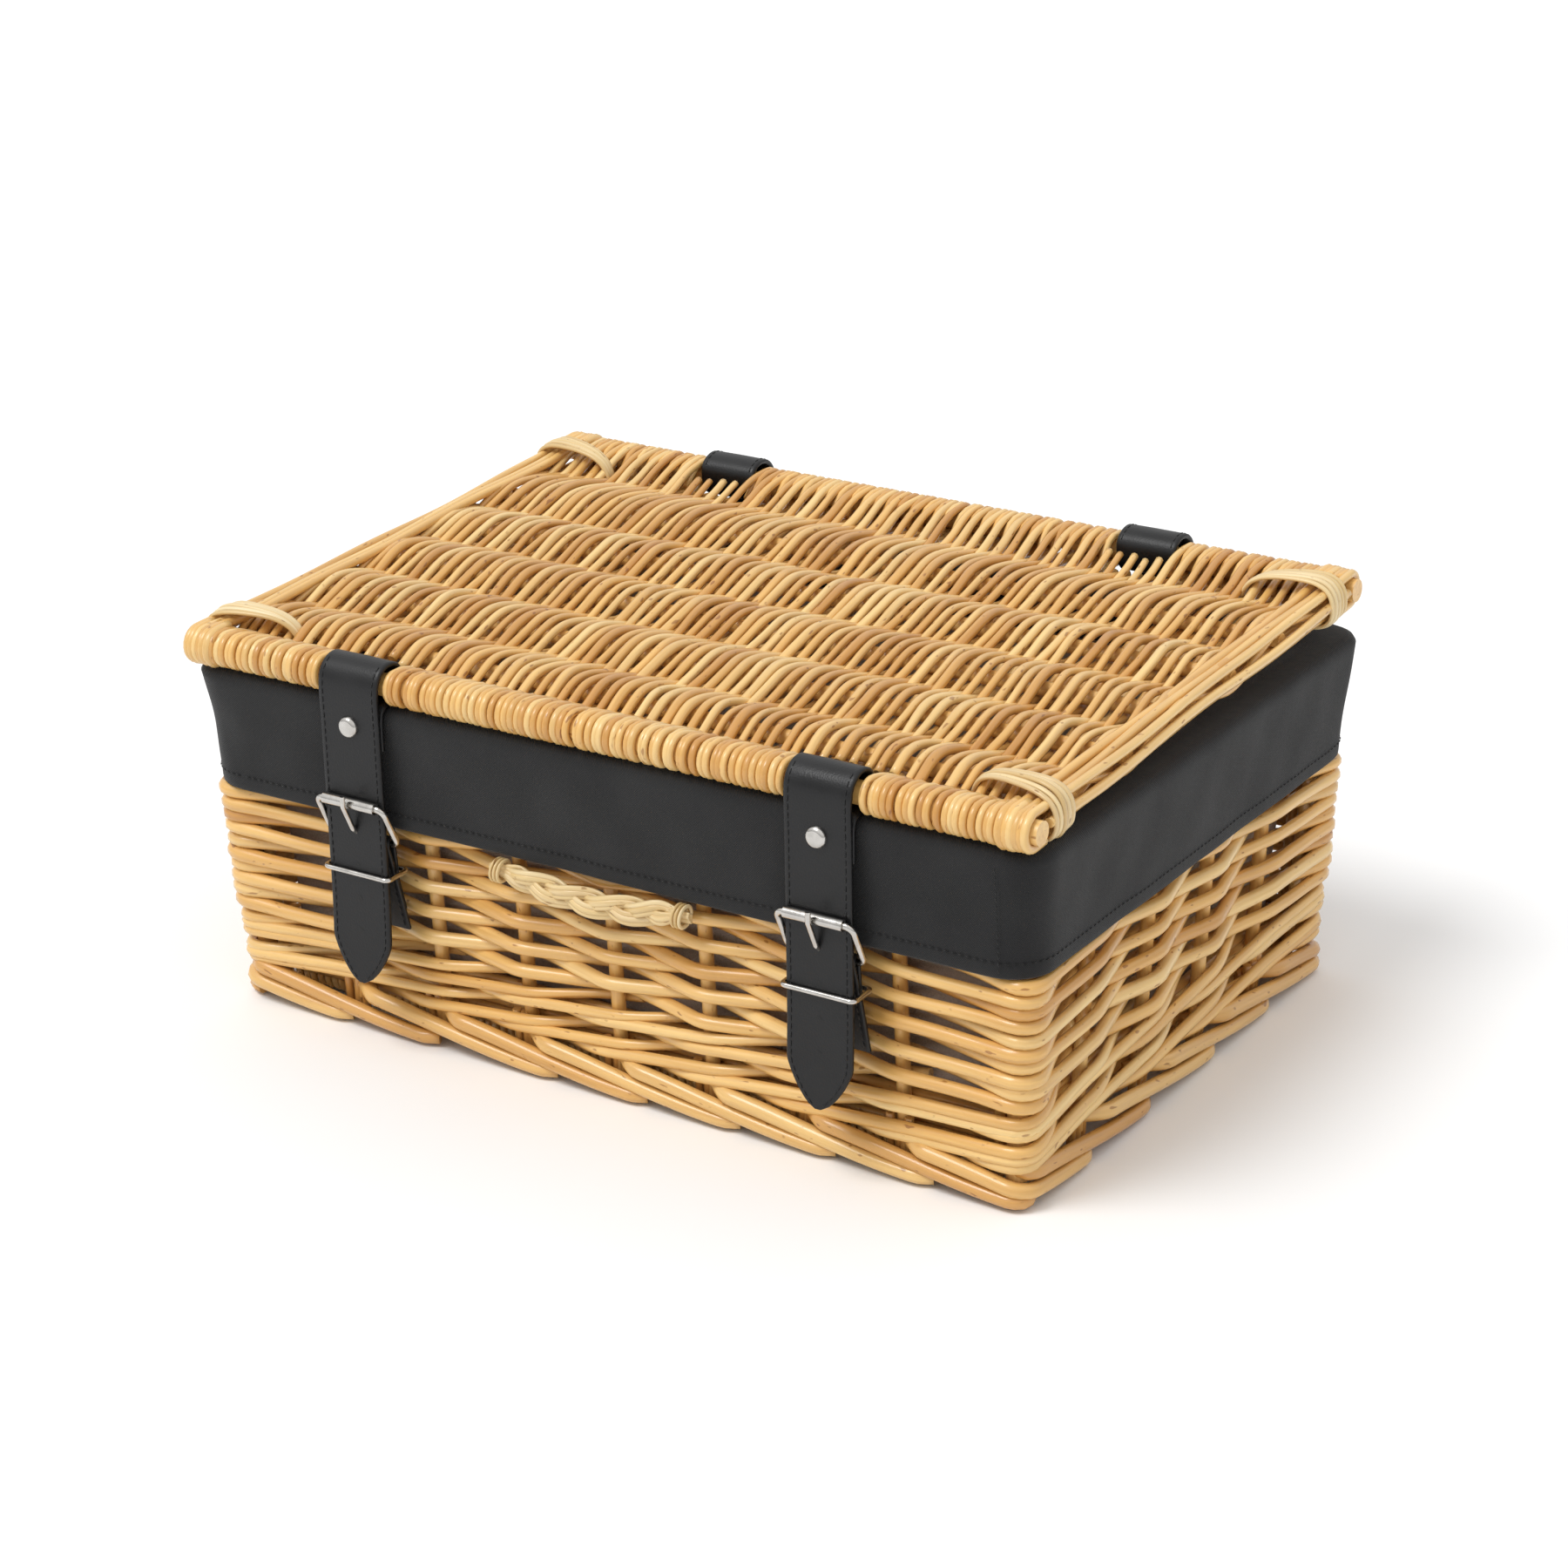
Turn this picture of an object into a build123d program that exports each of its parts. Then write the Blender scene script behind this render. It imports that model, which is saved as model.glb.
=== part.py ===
from build123d import *
import os
from math import acos, atan2, cos, hypot, radians, sin, tan

# Lined willow hamper: leaning woven walls, a woven lid hinged on leather loops at the back,
# two buckled leather straps and a plaited drop handle at the front.
# X runs along the hamper, -Y is the front, Z is up, and the origin is the middle of its foot.
# Each woven panel is one plain solid with a channel for every stick or stake it holds.

# Clearances
lay_gap = 0.3
hinge_gap = 0.1
lid_seat_gap = 0.3
cloth_gap = 0.4

# Walls: stake lines from the centre at floor level, and rods
wall_half_length = 209.0
wall_half_width = 139.0
wall_lean = 3.0
stake_radius = 3.4
corner_post_radius = 5.5
weaver_diameter = 5.8
wale_rod_diameter = 5.0
long_stakes = 7
long_stake_pitch = 51.0
short_stakes = 4
short_stake_pitch = 58.0
wale_top = 48.5
weave_corner_radius = 12.0

# Foot and base
foot_height = 12.0
foot_outer_reach = 11.0
foot_inner_reach = 5.0
foot_corner_radius = 16.0
foot_edge_radius = 3.0
base_middle_height = 11.0
base_stick_radius = 3.5
base_sticks_across = 7
base_rod_diameter = 3.7

# Lid, measured along its own slope from the rear stick to the front stick
lid_tilt = 2.25
lid_front_setback = 0.8
lid_rear_setback = 8.44
lid_front_height = 186.5
lid_end_overhang = 3.5
lid_edge_stick_radius = 5.5
lid_stick_radius = 3.6
lid_middle_inset = 4.5
lid_middle_sticks = 5
lid_stick_pitch = 50.0
lid_front_stick_gap = 35.0
lid_rod_diameter = 3.7
lid_valley = 4.0
lid_side_rod_radius = 2.2
lid_side_rod_pitch = 5.2
lid_side_rods = 2
lid_side_inset = 5.5
lid_slot_depth = 17.0
lashing_width = 10.0
lashing_thickness = 1.4
lashing_setback = 20.0

# Rim and lining
cloth_thickness = 1.2
bag_thickness = 1.5
rim_height = 9.0
rim_corner_radius = 19.0
skirt_bottom = 116.0
skirt_end_gap = 0.72
skirt_front_gap = 2.72
skirt_flare = 4.85
skirt_corner_radius = 16.0
skirt_edge_radius = 5.0
bag_seam_drop = 3.58
bag_corner_radius = 10.0

# Leather straps, hinge loops and tabs
strap_x = 127.0
strap_width = 34.0
strap_thickness = 2.6
strap_tail_height = 38.0
strap_point_length = 24.0
strap_rivet_height = 167.0
strap_fold_end = 156.0
strap_hole_radius = 2.0
strap_hole_pitch = 19.0
strap_holes = 2
hinge_x = 122.0
hinge_width = 32.0
hinge_tail_height = 146.0
hinge_rivet_height = 163.0
rivet_head_radius = 5.2
rivet_head_height = 2.6
rivet_shank_radius = 2.0
rivet_back_radius = 4.0
rivet_back_height = 0.8
fold_turn_radius = 3.5
tab_width = 33.0
tab_thickness = 2.0
tab_foot_height = 63.0
tab_rivet_height = 80.0
tab_rivet_radius = 4.0

# Buckle hardware
buckle_width = 42.0
buckle_wire_radius = 1.6
buckle_corner_radius = 4.0
heel_height = 109.0
roller_rise = 21.0
roller_radius = 2.7
roller_length = 30.0
prong_radius = 1.3
prong_eye_wall = 1.6
prong_eye_width = 4.0
prong_rise = 42.0
prong_tip_rise = 5.0
prong_turn_radius = 3.0
prong_slot_width = 4.2
prong_slot_length = 8.0
tab_slot_reach = 13.5
keeper_drop = 15.0
keeper_wire_radius = 1.25
keeper_corner_radius = 2.5

# Plaited handle
handle_half_span = 44.0
handle_barrel_length = 12.0
handle_radius = 6.0
handle_barrel_radius = 4.5
handle_drop = 5.0
handle_hem_gap = 0.6
handle_loop_wall = 1.8
handle_loop_width = 8.0

# Sizes that follow from the driving ones
lean = radians(wall_lean)
tilt = radians(lid_tilt)
weave_reach = stake_radius + lay_gap + weaver_diameter
wale_reach = stake_radius + lay_gap + wale_rod_diameter
bag_offset = weave_reach + cloth_gap
lid_edge_wrap = lid_edge_stick_radius + lay_gap + 2 * lid_side_rod_radius
skirt_top_drop = lid_edge_wrap + lay_gap + lashing_thickness + lid_seat_gap
rim_top_drop = skirt_top_drop + cloth_thickness + lay_gap
rim_bottom_drop = rim_top_drop + rim_height
roller_height = heel_height + roller_rise
keeper_height = heel_height - keeper_drop
sides = (("left", -1), ("right", 1))
pieces = {}


def half_length(height):
    """Stake line of the short walls, from the centre, at a height."""
    return wall_half_length + height * tan(lean)


def half_width(height):
    """Stake line of the long walls, from the centre, at a height."""
    return wall_half_width + height * tan(lean)


def weave_face(height):
    """Outer face of the weave on the long walls at a height."""
    return half_width(height) + weave_reach


skirt_half_length = half_length(skirt_bottom) + weave_reach + skirt_end_gap + cloth_thickness
skirt_half_width = weave_face(skirt_bottom) + skirt_front_gap + cloth_thickness
lid_stick_half_length = skirt_half_length + lid_end_overhang
lid_middle_half_length = lid_stick_half_length - lid_middle_inset
lid_depth = (2 * skirt_half_width - lid_front_setback - lid_rear_setback) / cos(tilt)
lid_front = (lid_front_setback - skirt_half_width, lid_front_height)
lid_rear = (lid_front[0] + lid_depth * cos(tilt), lid_front_height + lid_depth * sin(tilt))


def skirt_face(height):
    """Outer face of the lining's skirt on the long walls at a height."""
    return skirt_half_width + (height - skirt_bottom) * tan(radians(skirt_flare))


def rim_level(drop):
    """Height of a level plane that lies a drop below the lid's front stick."""
    return lid_front_height - drop - lid_edge_stick_radius * sin(tilt)


def tangent_point(center, radius, point, side):
    """Where the tangent from a point touches a circle, on its left (1) or right (-1)."""
    away = atan2(point[1] - center[1], point[0] - center[0])
    spread = acos(radius / hypot(point[0] - center[0], point[1] - center[1]))
    turn = away + side * spread
    return (center[0] + radius * cos(turn), center[1] + radius * sin(turn))


def on_circle(center, radius, degrees_round):
    """A point on a circle at an angle from its first axis."""
    turn = radians(degrees_round)
    return (center[0] + radius * cos(turn), center[1] + radius * sin(turn))


def rod_along(edges, radius):
    """Round rod swept along edges that run on from each other."""
    path = Wire(edges)
    with BuildPart() as rod:
        with BuildSketch(Plane(path @ 0, z_dir=path % 0)):
            Circle(radius)
        sweep(path=path)
    return rod.part


def keep(name, solids):
    """Store one node: a part, or a group of separate solids."""
    node = solids if not isinstance(solids, list) else Compound(children=solids)
    node.label = name
    pieces[name] = node


# Corner posts, leaning out with both walls

def corner_rod(x_sign, y_sign, radius, extra=0.0):
    """A round rod on a corner post's line, made longer at its top by an extra."""
    foot_z = foot_height + lay_gap + corner_post_radius * tan(lean) * 2
    top_z = rim_level(rim_bottom_drop) - lay_gap - corner_post_radius * tan(lean) * 2
    foot_point = Vector(x_sign * half_length(foot_z), y_sign * half_width(foot_z), foot_z)
    top_point = Vector(x_sign * half_length(top_z), y_sign * half_width(top_z), top_z)
    rise = top_point - foot_point
    with BuildPart() as rod:
        with BuildSketch(Plane(foot_point, x_dir=(1, 0, 0), z_dir=rise.normalized())):
            Circle(radius)
        extrude(amount=rise.length + extra)
    return rod.part


long_walls = (("front", -1), ("back", 1))
for wall_name, y_sign in long_walls:
    for side, x_sign in sides:
        post = corner_rod(x_sign, y_sign, corner_post_radius)
        keep(f"corner_post_{wall_name}_{side}", post)


# Walls: each knows its outward direction, its own stake line and its neighbours' line

class Wall:
    def __init__(self, name, outward, own_half, end_half, stakes, pitch):
        self.name = name
        self.outward = Vector(*outward)
        self.along = Vector(-self.outward.Y, self.outward.X)
        self.own_half = own_half
        self.end_half = end_half
        self.stake_places = [(i - (stakes - 1) / 2) * pitch for i in range(stakes)]
        self.up = self.outward * sin(lean) + Vector(0, 0, cos(lean))
        self.normal = self.outward * cos(lean) - Vector(0, 0, sin(lean))

    def point(self, height, offset=0.0):
        return self.outward * self.own_half(height) + Vector(0, 0, height) + self.normal * offset


walls = [
    Wall("front", (0, -1), half_width, half_length, long_stakes, long_stake_pitch),
    Wall("right", (1, 0), half_length, half_width, short_stakes, short_stake_pitch),
    Wall("back", (0, 1), half_width, half_length, long_stakes, long_stake_pitch),
    Wall("left", (-1, 0), half_length, half_width, short_stakes, short_stake_pitch),
]


def wall_panel(wall, low, high, offset, thickness, end_reach):
    """A leaning panel between two heights, its ends a reach past the neighbours' stake line."""
    low_half = wall.end_half(low) + end_reach
    high_half = wall.end_half(high) + end_reach
    drop = (high - low) / cos(lean)
    with BuildPart() as panel:
        with BuildSketch(Plane(wall.point(low, offset), x_dir=wall.along, z_dir=-wall.normal)):
            Polygon(
                (-low_half, 0), (low_half, 0), (high_half, -drop), (-high_half, -drop), align=None
            )
        extrude(amount=thickness)
    return panel.part


def woven_wall(wall, low, high, reach):
    """The weave of one wall: the long walls run round the corner posts, the short ones between."""
    y_sign = dict(long_walls).get(wall.name)
    end_reach = reach if y_sign else -(reach + lay_gap)
    with BuildPart() as woven:
        add(wall_panel(wall, low, high, reach, 2 * reach, end_reach))
        if y_sign:
            outside = woven.faces().sort_by(Axis((0, 0, 0), wall.normal))[-1]
            ends = [edge for edge in outside.edges() if abs((edge % 0.5).dot(wall.along)) < 0.5]
            fillet(ends, weave_corner_radius)
            for _, x_sign in sides:
                channel = corner_rod(x_sign, y_sign, corner_post_radius + lay_gap, rim_height)
                add(channel, mode=Mode.SUBTRACT)
        with BuildSketch(Plane(wall.point(low), x_dir=wall.along, z_dir=wall.up)):
            with Locations(*[(place, 0) for place in wall.stake_places]):
                Circle(stake_radius + lay_gap)
        extrude(amount=2 * high, both=True, mode=Mode.SUBTRACT)
        split(bisect_by=Plane.XY.offset(rim_level(rim_bottom_drop + lay_gap)), keep=Keep.BOTTOM)
    return woven.part


base_wrap = base_stick_radius + lay_gap + base_rod_diameter
base_top = base_middle_height + base_wrap
for wall in walls:
    # Upright stakes, from the foot to the underside of the rim
    stakes = []
    for place in wall.stake_places:
        foot = wall.point(foot_height + lay_gap + stake_radius * sin(lean)) + wall.along * place
        top = rim_level(rim_bottom_drop) - lay_gap - stake_radius * sin(lean)
        with BuildPart() as stake:
            with BuildSketch(Plane(foot, x_dir=wall.along, z_dir=wall.up)):
                Circle(stake_radius)
            extrude(amount=(top - foot.Z) / cos(lean))
        stakes.append(stake.part)
    keep(f"{wall.name}_stakes", stakes)

    # Waling from the base up, and the plain weave from there to the rim
    keep(f"{wall.name}_wale", woven_wall(wall, base_top + lay_gap, wale_top, wale_reach))
    keep(f"{wall.name}_weave", woven_wall(wall, wale_top + 2 * lay_gap, lid_rear[1], weave_reach))

# Foot border: a ring with a flat underside
foot_outer = (2 * (wall_half_length + foot_outer_reach), 2 * (wall_half_width + foot_outer_reach))
foot_inner = (2 * (wall_half_length - foot_inner_reach), 2 * (wall_half_width - foot_inner_reach))
with BuildPart() as foot_border:
    with BuildSketch():
        RectangleRounded(*foot_outer, foot_corner_radius)
        Rectangle(*foot_inner, mode=Mode.SUBTRACT)
    extrude(amount=foot_height)
    outer_edges = [
        edge
        for edge in foot_border.edges().filter_by(Plane.XY)
        if edge.distance_to(Vertex(0, 0, edge.center().Z)) > foot_inner[1] / 2 + 1
    ]
    fillet(outer_edges, foot_edge_radius)
keep("foot_border", foot_border.part)


# Base: sticks along X in a mat that wraps the first and the last of them
base_stick_line = foot_inner[1] / 2 - cloth_gap - base_wrap
base_half_length = foot_inner[0] / 2 - cloth_gap
base_places = [
    (base_stick_line * (2 * i / (base_sticks_across - 1) - 1), base_middle_height)
    for i in range(base_sticks_across)
]
base_sticks = []
for place in base_places:
    with BuildPart() as base_stick:
        with BuildSketch(Plane.YZ):
            with Locations(place):
                Circle(base_stick_radius)
        extrude(amount=base_half_length, both=True)
    base_sticks.append(base_stick.part)
keep("base_sticks", base_sticks)

with BuildPart() as base_weave:
    with BuildSketch(Plane.YZ):
        with Locations((0, base_middle_height)):
            SlotCenterToCenter(2 * base_stick_line, 2 * base_wrap)
        with Locations(*base_places):
            Circle(base_stick_radius + lay_gap, mode=Mode.SUBTRACT)
    extrude(amount=base_half_length, both=True)
keep("base_weave", base_weave.part)

# Lid sticks
stick_places = [lid_depth - lid_front_stick_gap - i * lid_stick_pitch for i in range(lid_middle_sticks)]
stick_places = sorted(stick_places)


def lid_point(place, lift=0.0):
    """(y, z) of a place along the lid from its rear stick, lifted off its mid plane."""
    y = lid_rear[0] - place * cos(tilt) - lift * sin(tilt)
    return (y, lid_rear[1] - place * sin(tilt) + lift * cos(tilt))


def lid_stick(place, radius, half_length):
    """A round stick along X at a place on the lid."""
    with BuildPart() as stick:
        with BuildSketch(Plane.YZ.offset(-half_length)):
            with Locations(lid_point(place)):
                Circle(radius)
        extrude(amount=2 * half_length)
    return stick.part


keep("lid_rear_stick", lid_stick(0, lid_edge_stick_radius, lid_stick_half_length))
keep("lid_front_stick", lid_stick(lid_depth, lid_edge_stick_radius, lid_stick_half_length))
middle_sticks = [lid_stick(place, lid_stick_radius, lid_middle_half_length) for place in stick_places]
keep("lid_middle_sticks", middle_sticks)

# Lid weave: it swells over every stick, rolls round the edge sticks, and is open for the leather
lid_line = [(0, lid_edge_stick_radius)]
lid_line += [(place, lid_stick_radius) for place in stick_places]
lid_line += [(lid_depth, lid_edge_stick_radius)]
lid_section = Plane((0, *lid_rear), x_dir=(0, -cos(tilt), -sin(tilt)), z_dir=(-1, 0, 0))
lid_flat = Plane((0, *lid_rear), x_dir=(-1, 0, 0), z_dir=(0, -sin(tilt), cos(tilt)))
side_rod_line = lid_stick_half_length - lid_side_inset
lid_side_places = [side_rod_line - i * lid_side_rod_pitch for i in range(lid_side_rods)]
lid_half_weave = lid_side_places[-1] - lid_side_rod_radius - lashing_thickness - 2 * lay_gap
edge_roll = lid_edge_stick_radius + lay_gap + lid_rod_diameter
lid_crest = lid_stick_radius + lay_gap + lid_rod_diameter
valleys = [place - lid_stick_pitch / 2 for place in stick_places]
valleys.append(lid_depth - lid_front_stick_gap / 2)
with BuildPart() as lid_weave:
    with BuildSketch(lid_section):
        with BuildLine():
            for face in (1, -1):
                low = face * lid_valley
                Line((0, face * edge_roll), (valleys[0], low))
                for start, crest, end in zip(valleys, stick_places, valleys[1:]):
                    ThreePointArc((start, low), (crest, face * lid_crest), (end, low))
                Line((valleys[-1], low), (lid_depth, face * edge_roll))
            ThreePointArc((0, edge_roll), (-edge_roll, 0), (0, -edge_roll))
            ThreePointArc((lid_depth, edge_roll), (lid_depth + edge_roll, 0), (lid_depth, -edge_roll))
        make_face()
        for place, radius in lid_line:
            with Locations((place, 0)):
                Circle(radius + lay_gap, mode=Mode.SUBTRACT)
    extrude(amount=lid_half_weave, both=True)
    for x, width, place in ((hinge_x, hinge_width, 0), (strap_x, strap_width, lid_depth)):
        with BuildSketch(lid_flat):
            with Locations((-x, place), (x, place)):
                Rectangle(width + 2 * lay_gap, 2 * lid_slot_depth)
        extrude(amount=2 * edge_roll, both=True, mode=Mode.SUBTRACT)
keep("lid_weave", lid_weave.part)

# Side rods of the lid, in pairs above and below the stick ends
side_rod_lift = lid_edge_stick_radius + lay_gap + lid_side_rod_radius
for side, x_sign in sides:
    side_rods = []
    for x in lid_side_places:
        for lift in (side_rod_lift, -side_rod_lift):
            start = (x_sign * x, *lid_point(-lid_edge_stick_radius, lift))
            with BuildPart() as side_rod:
                with BuildSketch(Plane(start, z_dir=(0, -cos(tilt), -sin(tilt)))):
                    Circle(lid_side_rod_radius)
                extrude(amount=lid_depth + 2 * lid_edge_stick_radius)
            side_rods.append(side_rod.part)
    keep(f"lid_side_rods_{side}", side_rods)

# Corner lashings: flat skein bands round the side rods, near the edge sticks
lashing_center = (lid_side_places[0] + lid_side_places[-1]) / 2
lashing_inside = (
    lid_side_places[0] - lid_side_places[-1] + 2 * lid_side_rod_radius + 2 * lay_gap,
    2 * (lid_edge_wrap + lay_gap),
)
lashings = []
for place in (lashing_setback, lid_depth - lashing_setback):
    for x_sign in (-1, 1):
        start = place - lashing_width / 2
        band_plane = Plane(
            (x_sign * lashing_center, *lid_point(start)),
            x_dir=(1, 0, 0),
            z_dir=(0, -cos(tilt), -sin(tilt)),
        )
        with BuildPart() as lashing:
            with BuildSketch(band_plane):
                outer = [size + 2 * lashing_thickness for size in lashing_inside]
                RectangleRounded(*outer, lid_side_rod_radius + lashing_thickness)
                RectangleRounded(*lashing_inside, lid_side_rod_radius, mode=Mode.SUBTRACT)
            extrude(amount=lashing_width)
        lashings.append(lashing.part)
keep("corner_lashings", lashings)

# Rim: a level border ring on the stakes
rim_low = rim_level(rim_bottom_drop)
rim_high = rim_level(rim_top_drop)
rim_grow = (rim_low - skirt_bottom) * tan(radians(skirt_flare)) - cloth_thickness - cloth_gap
rim_outer = (2 * (skirt_half_length + rim_grow), 2 * (skirt_half_width + rim_grow))
rim_inner = (
    2 * (half_length(rim_high) - bag_offset + cloth_gap),
    2 * (half_width(rim_high) - bag_offset + cloth_gap),
)
with BuildPart() as rim_border:
    with BuildSketch(Plane.XY.offset(rim_low)):
        RectangleRounded(*rim_outer, rim_corner_radius)
        RectangleRounded(*rim_inner, bag_corner_radius, mode=Mode.SUBTRACT)
    extrude(amount=rim_height)
    rim_top = rim_border.faces().sort_by(Axis.Z)[-1]
    fillet(rim_top.outer_wire().edges(), skirt_edge_radius)
keep("rim_border", rim_border.part)
bag_seam_height = rim_low - bag_seam_drop

# Lining bag: four wall panels and a floor panel, sewn inside the weave
bag_floor_height = base_top + lay_gap
for wall in walls:
    low = bag_floor_height + bag_thickness + lay_gap
    high = bag_seam_height - lay_gap - (bag_offset + bag_thickness) * sin(lean)
    tuck = 0.0 if wall.name in ("left", "right") else bag_thickness + lay_gap
    panel = wall_panel(wall, low, high, -bag_offset, bag_thickness, -bag_offset - tuck)
    keep(f"lining_{wall.name}_panel", panel)

with BuildPart() as bag_floor:
    with BuildSketch(Plane.XY.offset(bag_floor_height)):
        RectangleRounded(
            2 * (half_length(bag_floor_height) - bag_offset),
            2 * (half_width(bag_floor_height) - bag_offset),
            bag_corner_radius,
        )
    extrude(amount=bag_thickness)
keep("lining_floor_panel", bag_floor.part)

# Lining skirt: folded over the rim and down outside, with its inner fold sewn to the bag
skirt_stock = lid_rear[1] - skirt_bottom
bag_stock = lid_rear[1] - bag_seam_height
with BuildPart() as skirt_core:
    with BuildSketch(Plane.XY.offset(skirt_bottom)):
        RectangleRounded(
            2 * (skirt_half_length - cloth_thickness),
            2 * (skirt_half_width - cloth_thickness),
            skirt_corner_radius - cloth_thickness,
        )
    extrude(amount=skirt_stock, taper=-skirt_flare)
    split(bisect_by=Plane.XY.offset(rim_level(skirt_top_drop + cloth_thickness)), keep=Keep.BOTTOM)
    fillet(skirt_core.faces().sort_by(Axis.Z)[-1].edges(), skirt_edge_radius - cloth_thickness)

with BuildPart() as skirt_fold:
    with BuildSketch(Plane.XY.offset(bag_seam_height)):
        RectangleRounded(
            2 * (half_length(bag_seam_height) - bag_offset),
            2 * (half_width(bag_seam_height) - bag_offset),
            bag_corner_radius,
        )
    extrude(amount=bag_stock, taper=-wall_lean)
    split(bisect_by=Plane.XY.offset(rim_level(skirt_top_drop + cloth_thickness / 2)), keep=Keep.BOTTOM)

with BuildPart() as lining_skirt:
    with BuildSketch(Plane.XY.offset(skirt_bottom)):
        RectangleRounded(2 * skirt_half_length, 2 * skirt_half_width, skirt_corner_radius)
    extrude(amount=skirt_stock, taper=-skirt_flare)
    split(bisect_by=Plane.XY.offset(rim_level(skirt_top_drop)), keep=Keep.BOTTOM)
    fillet(lining_skirt.faces().sort_by(Axis.Z)[-1].edges(), skirt_edge_radius)
    add(skirt_core.part, mode=Mode.SUBTRACT)
    add(skirt_fold.part)
    with BuildSketch(Plane.XY.offset(bag_seam_height)):
        RectangleRounded(
            2 * (half_length(bag_seam_height) - bag_offset - bag_thickness),
            2 * (half_width(bag_seam_height) - bag_offset - bag_thickness),
            bag_corner_radius - bag_thickness,
        )
    extrude(amount=bag_stock, taper=-wall_lean, mode=Mode.SUBTRACT)
keep("lining_skirt", lining_skirt.part)


# Leather loops: a strip goes round a lid stick and comes back to lie on itself

loop_radius = lid_edge_stick_radius + hinge_gap + strap_thickness / 2
layer_step = strap_thickness - lay_gap / 2
leather_lap = layer_step + strap_thickness / 2 + rivet_back_height + cloth_gap
strap_line = -(skirt_face(lid_front_height - skirt_top_drop - skirt_edge_radius) + leather_lap)
hinge_line = skirt_face(lid_rear[1] - skirt_top_drop - skirt_edge_radius) + leather_lap


def loop_profile(center, line, side, turn_height, tail_height, fold_end):
    """Leather section in (y, z): up the outside, round the stick, and back down behind the outer layer."""
    shoulder = (line, turn_height)
    touch = tangent_point(center, loop_radius, shoulder, side)
    inner_line = line - side * layer_step
    under = (center[0], center[1] - loop_radius)
    bend_start = (inner_line - side * fold_turn_radius, under[1])
    bend_end = (inner_line, under[1] - fold_turn_radius)
    Line((line, tail_height), shoulder)
    Line(shoulder, touch)
    ThreePointArc(touch, on_circle(center, loop_radius, 90 + side * 70), under)
    Line(under, bend_start)
    TangentArc(bend_start, bend_end, tangent=(side, 0))
    Line(bend_end, (inner_line, fold_end))


def rivet(x, line, height, side, head_radius):
    """Domed rivet through the two leather layers, its head on the outside."""
    face = line + side * strap_thickness / 2
    stack = layer_step + strap_thickness
    head_plane = Plane((x, face, height), x_dir=(1, 0, 0), z_dir=(0, side, 0))
    with BuildPart() as riveted:
        with BuildSketch(head_plane):
            Circle(head_radius)
        extrude(amount=rivet_head_height)
        fillet(riveted.faces().sort_by(Axis.Y)[0 if side < 0 else -1].edges(), rivet_head_height * 0.9)
        with BuildSketch(head_plane):
            Circle(rivet_shank_radius)
        extrude(amount=-stack)
        with BuildSketch(head_plane.offset(-stack)):
            Circle(rivet_back_radius)
        extrude(amount=-rivet_back_height)
    return riveted.part


strap_turn = lid_front_height - skirt_top_drop - skirt_edge_radius
hinge_turn = lid_rear[1] - skirt_top_drop - skirt_edge_radius

# Heel bar of the buckles: behind the strap by the thickness of the tab's fold
tab_fold_radius = buckle_wire_radius + lay_gap + tab_thickness / 2
strap_back = strap_line + strap_thickness / 2
strap_front = strap_line - strap_thickness / 2
heel = (strap_back + lay_gap + tab_fold_radius + tab_thickness / 2, heel_height)
roller = (strap_front - lay_gap - roller_radius, roller_height)
prong_pierce_height = heel_height + (heel[0] - strap_line) * tan(radians(prong_rise))

# Closing straps: pointed tail, prong slot and spare holes
for side, x_sign in sides:
    with BuildLine() as strap_path:
        loop_profile(lid_front, strap_line, -1, strap_turn, strap_tail_height, strap_fold_end)
    with BuildPart() as strap:
        with BuildSketch(Plane.YZ.offset(x_sign * strap_x)):
            for edge in strap_path.edges():
                trace(edge, line_width=strap_thickness)
        extrude(amount=strap_width / 2, both=True)
        front_view = Plane((x_sign * strap_x, 0, 0), x_dir=(1, 0, 0), z_dir=(0, -1, 0))
        half = strap_width / 2
        point_start = strap_tail_height + strap_point_length
        top = lid_front_height + loop_radius + strap_thickness
        with BuildSketch(front_view):
            with BuildLine():
                Line((-half, point_start), (-half, top))
                Line((-half, top), (half, top))
                Line((half, top), (half, point_start))
                RadiusArc((half, point_start), (0, strap_tail_height), strap_point_length * 2)
                RadiusArc((0, strap_tail_height), (-half, point_start), strap_point_length * 2)
            make_face()
        extrude(amount=-2 * strap_line, mode=Mode.INTERSECT)
        with BuildSketch(front_view):
            with Locations((0, prong_pierce_height)):
                SlotOverall(prong_slot_length, prong_slot_width, rotation=90)
            for i in range(strap_holes):
                with Locations((0, prong_pierce_height - (i + 1) * strap_hole_pitch)):
                    Circle(strap_hole_radius)
            with Locations((0, strap_rivet_height)):
                Circle(rivet_shank_radius + hinge_gap)
        extrude(amount=-2 * strap_line, mode=Mode.SUBTRACT)
    keep(f"closing_strap_{side}", strap.part)
    strap_rivet = rivet(x_sign * strap_x, strap_line, strap_rivet_height, -1, rivet_head_radius)
    keep(f"strap_rivet_{side}", strap_rivet)

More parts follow.
